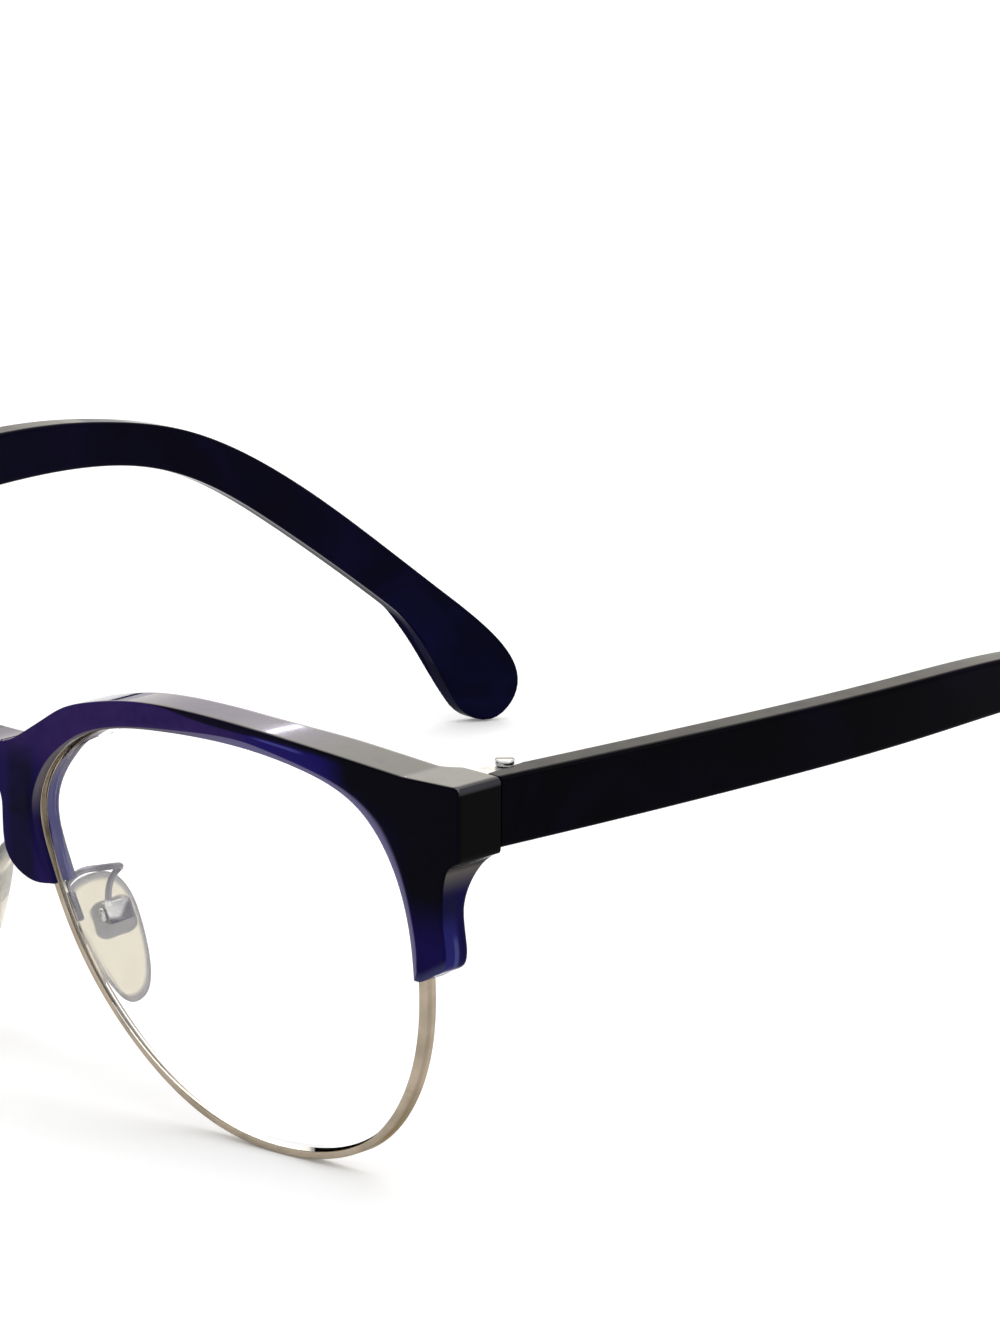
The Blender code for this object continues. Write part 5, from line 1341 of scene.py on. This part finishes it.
# The pad screw goes through both cheeks of the box and the tongue, its slotted head in front.
head_from = -outer_wall - LOCK_SEAT
pad_screw = slotted_screw(
    (PAD_AXIS_BACK + outer_wall, PAD_AXIS_UP, PAD_AXIS_OUT),
    (PAD_AXIS_BACK + head_from, PAD_AXIS_UP, PAD_AXIS_OUT),
    (PAD_AXIS_BACK + head_from - PAD_HEAD_HEIGHT, PAD_AXIS_UP, PAD_AXIS_OUT),
    shank=PAD_SHANK_RADIUS,
    head=PAD_HEAD_RADIUS,
    slot_width=0.22 * MM,
    slot_depth=0.2 * MM,
    crown=0.12 * MM,
)
pad_screw.data.transform(on_pad)
both_sides(pad_screw, "pad_screw", steel, "front")

# The two hinges: five steel knuckles on an upright screw. The front leaf is let into the endpiece's
# back, the temple's leaf into its inner side, with a peg that reaches the core wire.
TEMPLE_REACH = 126.6 * MM
TEMPLE_THICKNESS = 3.4 * MM
TEMPLE_BOW = 8.5 * MM
HINGE_X = FRONT_HALF_WIDTH - 3.2 * MM
HINGE_Y = JOINT_FACE + 3.8 * MM
BARREL_RADIUS = 1.15 * MM
KNUCKLE_HEIGHT = 1.1 * MM
KNUCKLE_GAP = 0.05 * MM
KNUCKLES = 5
BARREL_TOP = ENDPIECE_TOP - 0.15 * MM
BARREL_BOTTOM = BARREL_TOP - KNUCKLES * (KNUCKLE_HEIGHT + KNUCKLE_GAP) + KNUCKLE_GAP
HINGE_BORE_RADIUS = 0.65 * MM
LEAF_BELOW_TOP = 0.6 * MM
LEAF_THICKNESS = 1.0 * MM
LEAF_SEAT = 0.12 * MM
LEAF_PROUD = 0.05 * MM
LEAF_MARGIN = 0.3 * MM
FRONT_LEAF_WIDTH = 4.2 * MM
TANG = (2.6 * MM, 1.6 * MM, 3.0 * MM)
TEMPLE_LEAF_LENGTH = 9.5 * MM
TEMPLE_LEAF_HEIGHT = 3.6 * MM
TEMPLE_LEAF_TAPER = 0.8
LEAF_CUTS = 7
HINGE_EDGE_ROUND = 0.09 * MM
HINGE_HEAD_SEAT = 0.05 * MM
HINGE_HEAD_HEIGHT = 0.7 * MM
REBATE_CLEARANCE = 0.2 * MM
REBATE_END = HINGE_Y + BARREL_RADIUS + REBATE_CLEARANCE
REBATE_SIDE = HINGE_X + BARREL_RADIUS + REBATE_CLEARANCE
CORE_IN_THICKNESS_SHARE = 0.42
CORE_HEIGHT = 1.5 * MM
CORE_THICKNESS = 0.9 * MM
CORE_CLEARANCE = 0.15 * MM
CORE_START_SHARES = (0.050, 0.928)
PEG_SET_BACK = 3.0 * MM
PEG_LENGTH = 2.4 * MM
PEG_START = JOINT_FACE + CORE_START_SHARES[0] * TEMPLE_REACH + PEG_SET_BACK
PEG_HEIGHT_Z = CORE_START_SHARES[1] * ENDPIECE_TOP

# Plan of the temple's outer side in shares of its reach and of its bow
TEMPLE_PLAN_SHARES = (
    (-0.02, -0.06),
    (0.100, 0.320),
    (0.250, 0.740),
    (0.447, 1.000),
    (0.620, 0.880),
    (0.800, 0.410),
    (0.900, -0.080),
    (1.010, -1.030),
)
plan_points = [(JOINT_FACE + a * TEMPLE_REACH, b * TEMPLE_BOW) for a, b in TEMPLE_PLAN_SHARES]
plan_line = curve_through(plan_points)(np.linspace(0, 1, 2000))


def temple_side(y):
    """Where the temple's outer side stands at a distance back."""
    bow = np.interp(y, plan_line[:, 0], plan_line[:, 1])
    return FRONT_HALF_WIDTH + bow - np.interp(JOINT_FACE, plan_line[:, 0], plan_line[:, 1])


def knuckle(number, towards):
    """A part of the barrel, from a cylinder primitive, with the arm that joins it to its leaf."""
    low = BARREL_BOTTOM + number * (KNUCKLE_HEIGHT + KNUCKLE_GAP)
    barrel = rod(BARREL_RADIUS, (HINGE_X, HINGE_Y, low), (HINGE_X, HINGE_Y, low + KNUCKLE_HEIGHT), sides=56)
    near, far = sorted((HINGE_Y, towards))
    arm = cube((HINGE_X - BARREL_RADIUS, near, low), (HINGE_X + BARREL_RADIUS, far, low + KNUCKLE_HEIGHT))
    boolean(barrel, arm, "UNION")
    return barrel


leaf_low = max(BARREL_BOTTOM, ENDPIECE_BOTTOM + LEAF_BELOW_TOP)
leaf_high = ENDPIECE_TOP - LEAF_BELOW_TOP
leaf_left = HINGE_X - FRONT_LEAF_WIDTH + BARREL_RADIUS
leaf_right = HINGE_X + BARREL_RADIUS
leaf_front = JOINT_FACE - LEAF_THICKNESS
front_leaf = cube((leaf_left, leaf_front, leaf_low), (leaf_right, JOINT_FACE + LEAF_PROUD, leaf_high))
tang_middle = np.array((HINGE_X - FRONT_LEAF_WIDTH / 2 + BARREL_RADIUS, 0.0, (leaf_low + leaf_high) / 2))
tang_low = tang_middle + (-TANG[0] / 2, leaf_front - TANG[1], -TANG[2] / 2)
tang_high = tang_middle + (TANG[0] / 2, leaf_front + LEAF_THICKNESS / 2, TANG[2] / 2)
boolean(front_leaf, cube(tang_low, tang_high), "UNION")
for number in range(0, KNUCKLES, 2):
    boolean(front_leaf, knuckle(number, JOINT_FACE - LEAF_MARGIN), "UNION")
above = cube(
    (leaf_left, leaf_front - TANG[1], leaf_high),
    (leaf_right + LEAF_MARGIN, JOINT_FACE + LEAF_SEAT, BARREL_TOP + KNUCKLE_HEIGHT),
)
boolean(front_leaf, above, "DIFFERENCE")

middle = (BARREL_TOP + BARREL_BOTTOM) / 2
leaf_start = REBATE_END - REBATE_CLEARANCE
temple_leaf = cube(
    (-TEMPLE_THICKNESS, leaf_start, middle - TEMPLE_LEAF_HEIGHT / 2),
    (LEAF_THICKNESS - TEMPLE_THICKNESS, leaf_start + TEMPLE_LEAF_LENGTH, middle + TEMPLE_LEAF_HEIGHT / 2),
)
pick(temple_leaf)
bpy.ops.mesh.subdivide(number_cuts=LEAF_CUTS)
done_editing()
pick(temple_leaf, "verts", lambda vertex: vertex.co.y > leaf_start + TEMPLE_LEAF_LENGTH - CLOSE)
bpy.ops.transform.resize(value=(1.0, 1.0, TEMPLE_LEAF_TAPER))
done_editing()
moved(temple_leaf, lambda at: at + np.outer(temple_side(at[:, 1]), (1.0, 0.0, 0.0)))
peg_side = float(temple_side(PEG_START)) - TEMPLE_THICKNESS
core_side = peg_side + TEMPLE_THICKNESS * (1 - CORE_IN_THICKNESS_SHARE)
peg_end = core_side - CORE_THICKNESS / 2 - CORE_CLEARANCE
peg = cube(
    (peg_side + LEAF_THICKNESS / 2, PEG_START, PEG_HEIGHT_Z - CORE_HEIGHT / 2),
    (peg_end, PEG_START + PEG_LENGTH, PEG_HEIGHT_Z + CORE_HEIGHT / 2),
)
boolean(temple_leaf, peg, "UNION")
for number in range(1, KNUCKLES, 2):
    boolean(temple_leaf, knuckle(number, REBATE_END + LEAF_THICKNESS), "UNION")
for leaf in (front_leaf, temple_leaf):
    ends = [(HINGE_X, HINGE_Y, z) for z in (BARREL_BOTTOM - KNUCKLE_HEIGHT, BARREL_TOP + KNUCKLE_HEIGHT)]
    boolean(leaf, rod(HINGE_BORE_RADIUS, *ends), "DIFFERENCE")
    rounded(leaf, HINGE_EDGE_ROUND, segments=2, angle=50.0)
both_sides(front_leaf, "front_hinge", steel, "front")
both_sides(temple_leaf, "temple_hinge", steel, "temple_arm")

# The hinge screw stands in the bore of all five knuckles, its slotted head above.
head_seat = BARREL_TOP + HINGE_HEAD_SEAT
hinge_screw = slotted_screw(
    (HINGE_X, HINGE_Y, BARREL_BOTTOM + KNUCKLE_GAP),
    (HINGE_X, HINGE_Y, head_seat),
    (HINGE_X, HINGE_Y, head_seat + HINGE_HEAD_HEIGHT),
    shank=0.58 * MM,
    head=1.0 * MM,
    slot_width=0.35 * MM,
    slot_depth=0.3 * MM,
    crown=0.22 * MM,
)
both_sides(hinge_screw, "hinge_screw", steel, "front")

# The two core wires: flat spring-steel bars shot into the temples from their hinge ends. Nothing of
# them is seen, so they keep the meshes of their solids and only get the steel finish.
for side in ("_left", "_right"):
    wire_in_temple = frame["nodes"]["core_wire" + side]
    wire_in_temple.data.materials.clear()
    wire_in_temple.data.materials.append(steel)

# The two temples: cut from the same navy acetate to their side profile, tumbled round at the edges,
# thinned to the paddle-shaped tip, bowed in plan and rebated on the inside for the hinge.
JOINT_GAP = 0.15 * MM
TIP_THICKNESS = 2.3 * MM
THINNING_SHARES = (0.42, 0.85)
TIP_CLOSING_SHARES = (0.86, 1.0)
TEMPLE_EDGE_ROUND = 0.5 * MM
TEMPLE_COLUMN_EDGES = (0.3 * MM, 0.6 * MM)
TEMPLE_COLUMNS = 220
TEMPLE_ROWS = 40
TIP_STEP = 0.25 * MM

# Side profile in shares of the temple's reach and of the endpiece's top height. The tip's outline and
# the bottom line start where the table before them ends.
TEMPLE_TOP_SHARES = (
    (0.000, 1.001),
    (0.115, 1.012),
    (0.233, 1.022),
    (0.387, 1.029),
    (0.470, 1.029),
    (0.545, 1.017),
    (0.610, 0.990),
    (0.676, 0.941),
    (0.781, 0.777),
    (0.899, 0.492),
    (0.952, 0.343),
)
TEMPLE_TIP_SHARES = (
    (0.983, 0.240),
    (1.000, 0.128),
    (0.994, 0.046),
    (0.976, 0.003),
    (0.962, 0.014),
    (0.946, 0.074),
    (0.932, 0.176),
)
TEMPLE_BOTTOM_SHARES = (
    (0.911, 0.290),
    (0.882, 0.378),
    (0.780, 0.623),
    (0.694, 0.788),
    (0.640, 0.849),
    (0.570, 0.882),
    (0.470, 0.887),
    (0.387, 0.879),
    (0.233, 0.862),
    (0.115, 0.845),
    (0.000, 0.829),
)


def temple_place(shares):
    """Side profile points in Y and Z from their shares."""
    return [(JOINT_FACE + a * TEMPLE_REACH, u * ENDPIECE_TOP) for a, u in shares]


temple_start = JOINT_FACE + JOINT_GAP
top_run = run_of(temple_place(TEMPLE_TOP_SHARES))
bottom_run = run_of(temple_place(TEMPLE_TIP_SHARES[-1:] + TEMPLE_BOTTOM_SHARES))[::-1]
tip_run = run_of(temple_place(TEMPLE_TOP_SHARES[-1:] + TEMPLE_TIP_SHARES), TIP_STEP)
for run in (top_run, bottom_run):
    run[0] = (temple_start, run[0][1])
temple_line = np.vstack([bottom_run, tip_run[::-1], top_run[::-1]])
top_way, top_length = walk(top_run)
bottom_way, _ = walk(bottom_run)
tip_way, _ = walk(tip_run[::-1])
columns_there = graded(TEMPLE_COLUMNS, top_length, *TEMPLE_COLUMN_EDGES)


def temple_at(column, row):
    """Places between the bottom line (row 0) and the top line, closing round the tip's outline."""
    along = columns_there[column]
    low, high = bottom_way(along), top_way(along)
    height = lengths(high - low)
    share = row_shares(row, TEMPLE_ROWS, height, TEMPLE_EDGE_ROUND, TEMPLE_EDGE_ROUND)[:, None]
    tip_low, tip_high = bottom_way(1.0), top_way(1.0)
    bulge = tip_way(share[:, 0]) - (tip_low + (tip_high - tip_low) * share)
    return low + (high - low) * share + bulge * smooth_step(along, *TIP_CLOSING_SHARES)[:, None] ** 2


def outer_side(flat):
    return temple_side(flat[:, 0]) - quarter_round(nearest(flat, temple_line), TEMPLE_EDGE_ROUND)


def inner_side(flat):
    rounding = quarter_round(nearest(flat, temple_line), TEMPLE_EDGE_ROUND)
    return temple_side(flat[:, 0]) - TEMPLE_THICKNESS + rounding


def thinned(at):
    """Takes the thickness off from the outer side towards the tip."""
    start, end = (JOINT_FACE + share * TEMPLE_REACH for share in THINNING_SHARES)
    off = (1 - TIP_THICKNESS / TEMPLE_THICKNESS) * smooth_step(at[:, 1], start, end)
    side = temple_side(at[:, 1])
    x = at[:, 0] - (TEMPLE_THICKNESS + at[:, 0] - side) * off
    return np.stack([x, at[:, 1], at[:, 2]], axis=1)


temple = slab(
    TEMPLE_COLUMNS,
    TEMPLE_ROWS,
    temple_at,
    outer_side,
    inner_side,
    lambda flat, depth: np.stack([depth, flat[:, 0], flat[:, 1]], axis=1),
)
moved(temple, thinned)
low = (float(temple_side(temple_start)) - 2 * TEMPLE_THICKNESS, 0.0, 0.0)
boolean(temple, cube(low, (REBATE_SIDE, REBATE_END, 2 * ENDPIECE_TOP)), "DIFFERENCE")
seat_low = (
    float(temple_side(leaf_start)) - 2 * TEMPLE_THICKNESS,
    leaf_start - LEAF_SEAT,
    middle - TEMPLE_LEAF_HEIGHT / 2 - LEAF_SEAT,
)
seat_high = (
    float(temple_side(leaf_start + TEMPLE_LEAF_LENGTH)) - TEMPLE_THICKNESS + LEAF_THICKNESS + LEAF_SEAT,
    leaf_start + TEMPLE_LEAF_LENGTH + LEAF_SEAT,
    middle + TEMPLE_LEAF_HEIGHT / 2 + LEAF_SEAT,
)
boolean(temple, cube(seat_low, seat_high), "DIFFERENCE")

night, shader, place = new_finish(
    "navy_temple_acetate", {"IOR": 1.45, "Specular IOR Level": 0.02, "Coat Roughness": 0.04}
)
z = place.parts()[2]
_, across, level = place.add("Attribute", {"attribute_name": "sheet"}, {}, 1).parts()
swirl = noise(place, 70.0, detail=4.0, roughness=0.55, distortion=1.1).between(0.35, 0.72)
# Painted shade and light: the same acetate painted darker on the outer side and a lighter blue on the inner
# side
outside = (swirl * 0.6).blend((0.0012, 0.0011, 0.0022), (0.0022, 0.0018, 0.007))
inside = swirl.blend((0.0016, 0.0014, 0.006), (0.0028, 0.002, 0.013))
body = level.between(0.3, 0.7).blend(outside, inside)
tip = 1 - z.between(8.0 * MM, 30.0 * MM)
body = tip.blend(body, swirl.blend((0.0016, 0.0016, 0.009), (0.0032, 0.003, 0.024)))
lead(body, shader, "Base Color")
rubbed = noise(place, 380.0, detail=5.0).between(0.45, 0.8)
lead(rubbed * 0.05 + 0.06, shader, "Roughness")
inner_foot = (1 - across.between(0.006, 0.03)) * level.between(0.5, 0.9)
lead(across.between(0.96, 0.998) * (rubbed * -0.1 + 0.24) + inner_foot, shader, "Coat Weight")
bumped(shader, noise(place, 230.0, detail=2.0), 0.05, 0.05 * MM)
both_sides(temple, "temple", night, "temple_arm", smooth=32.0)
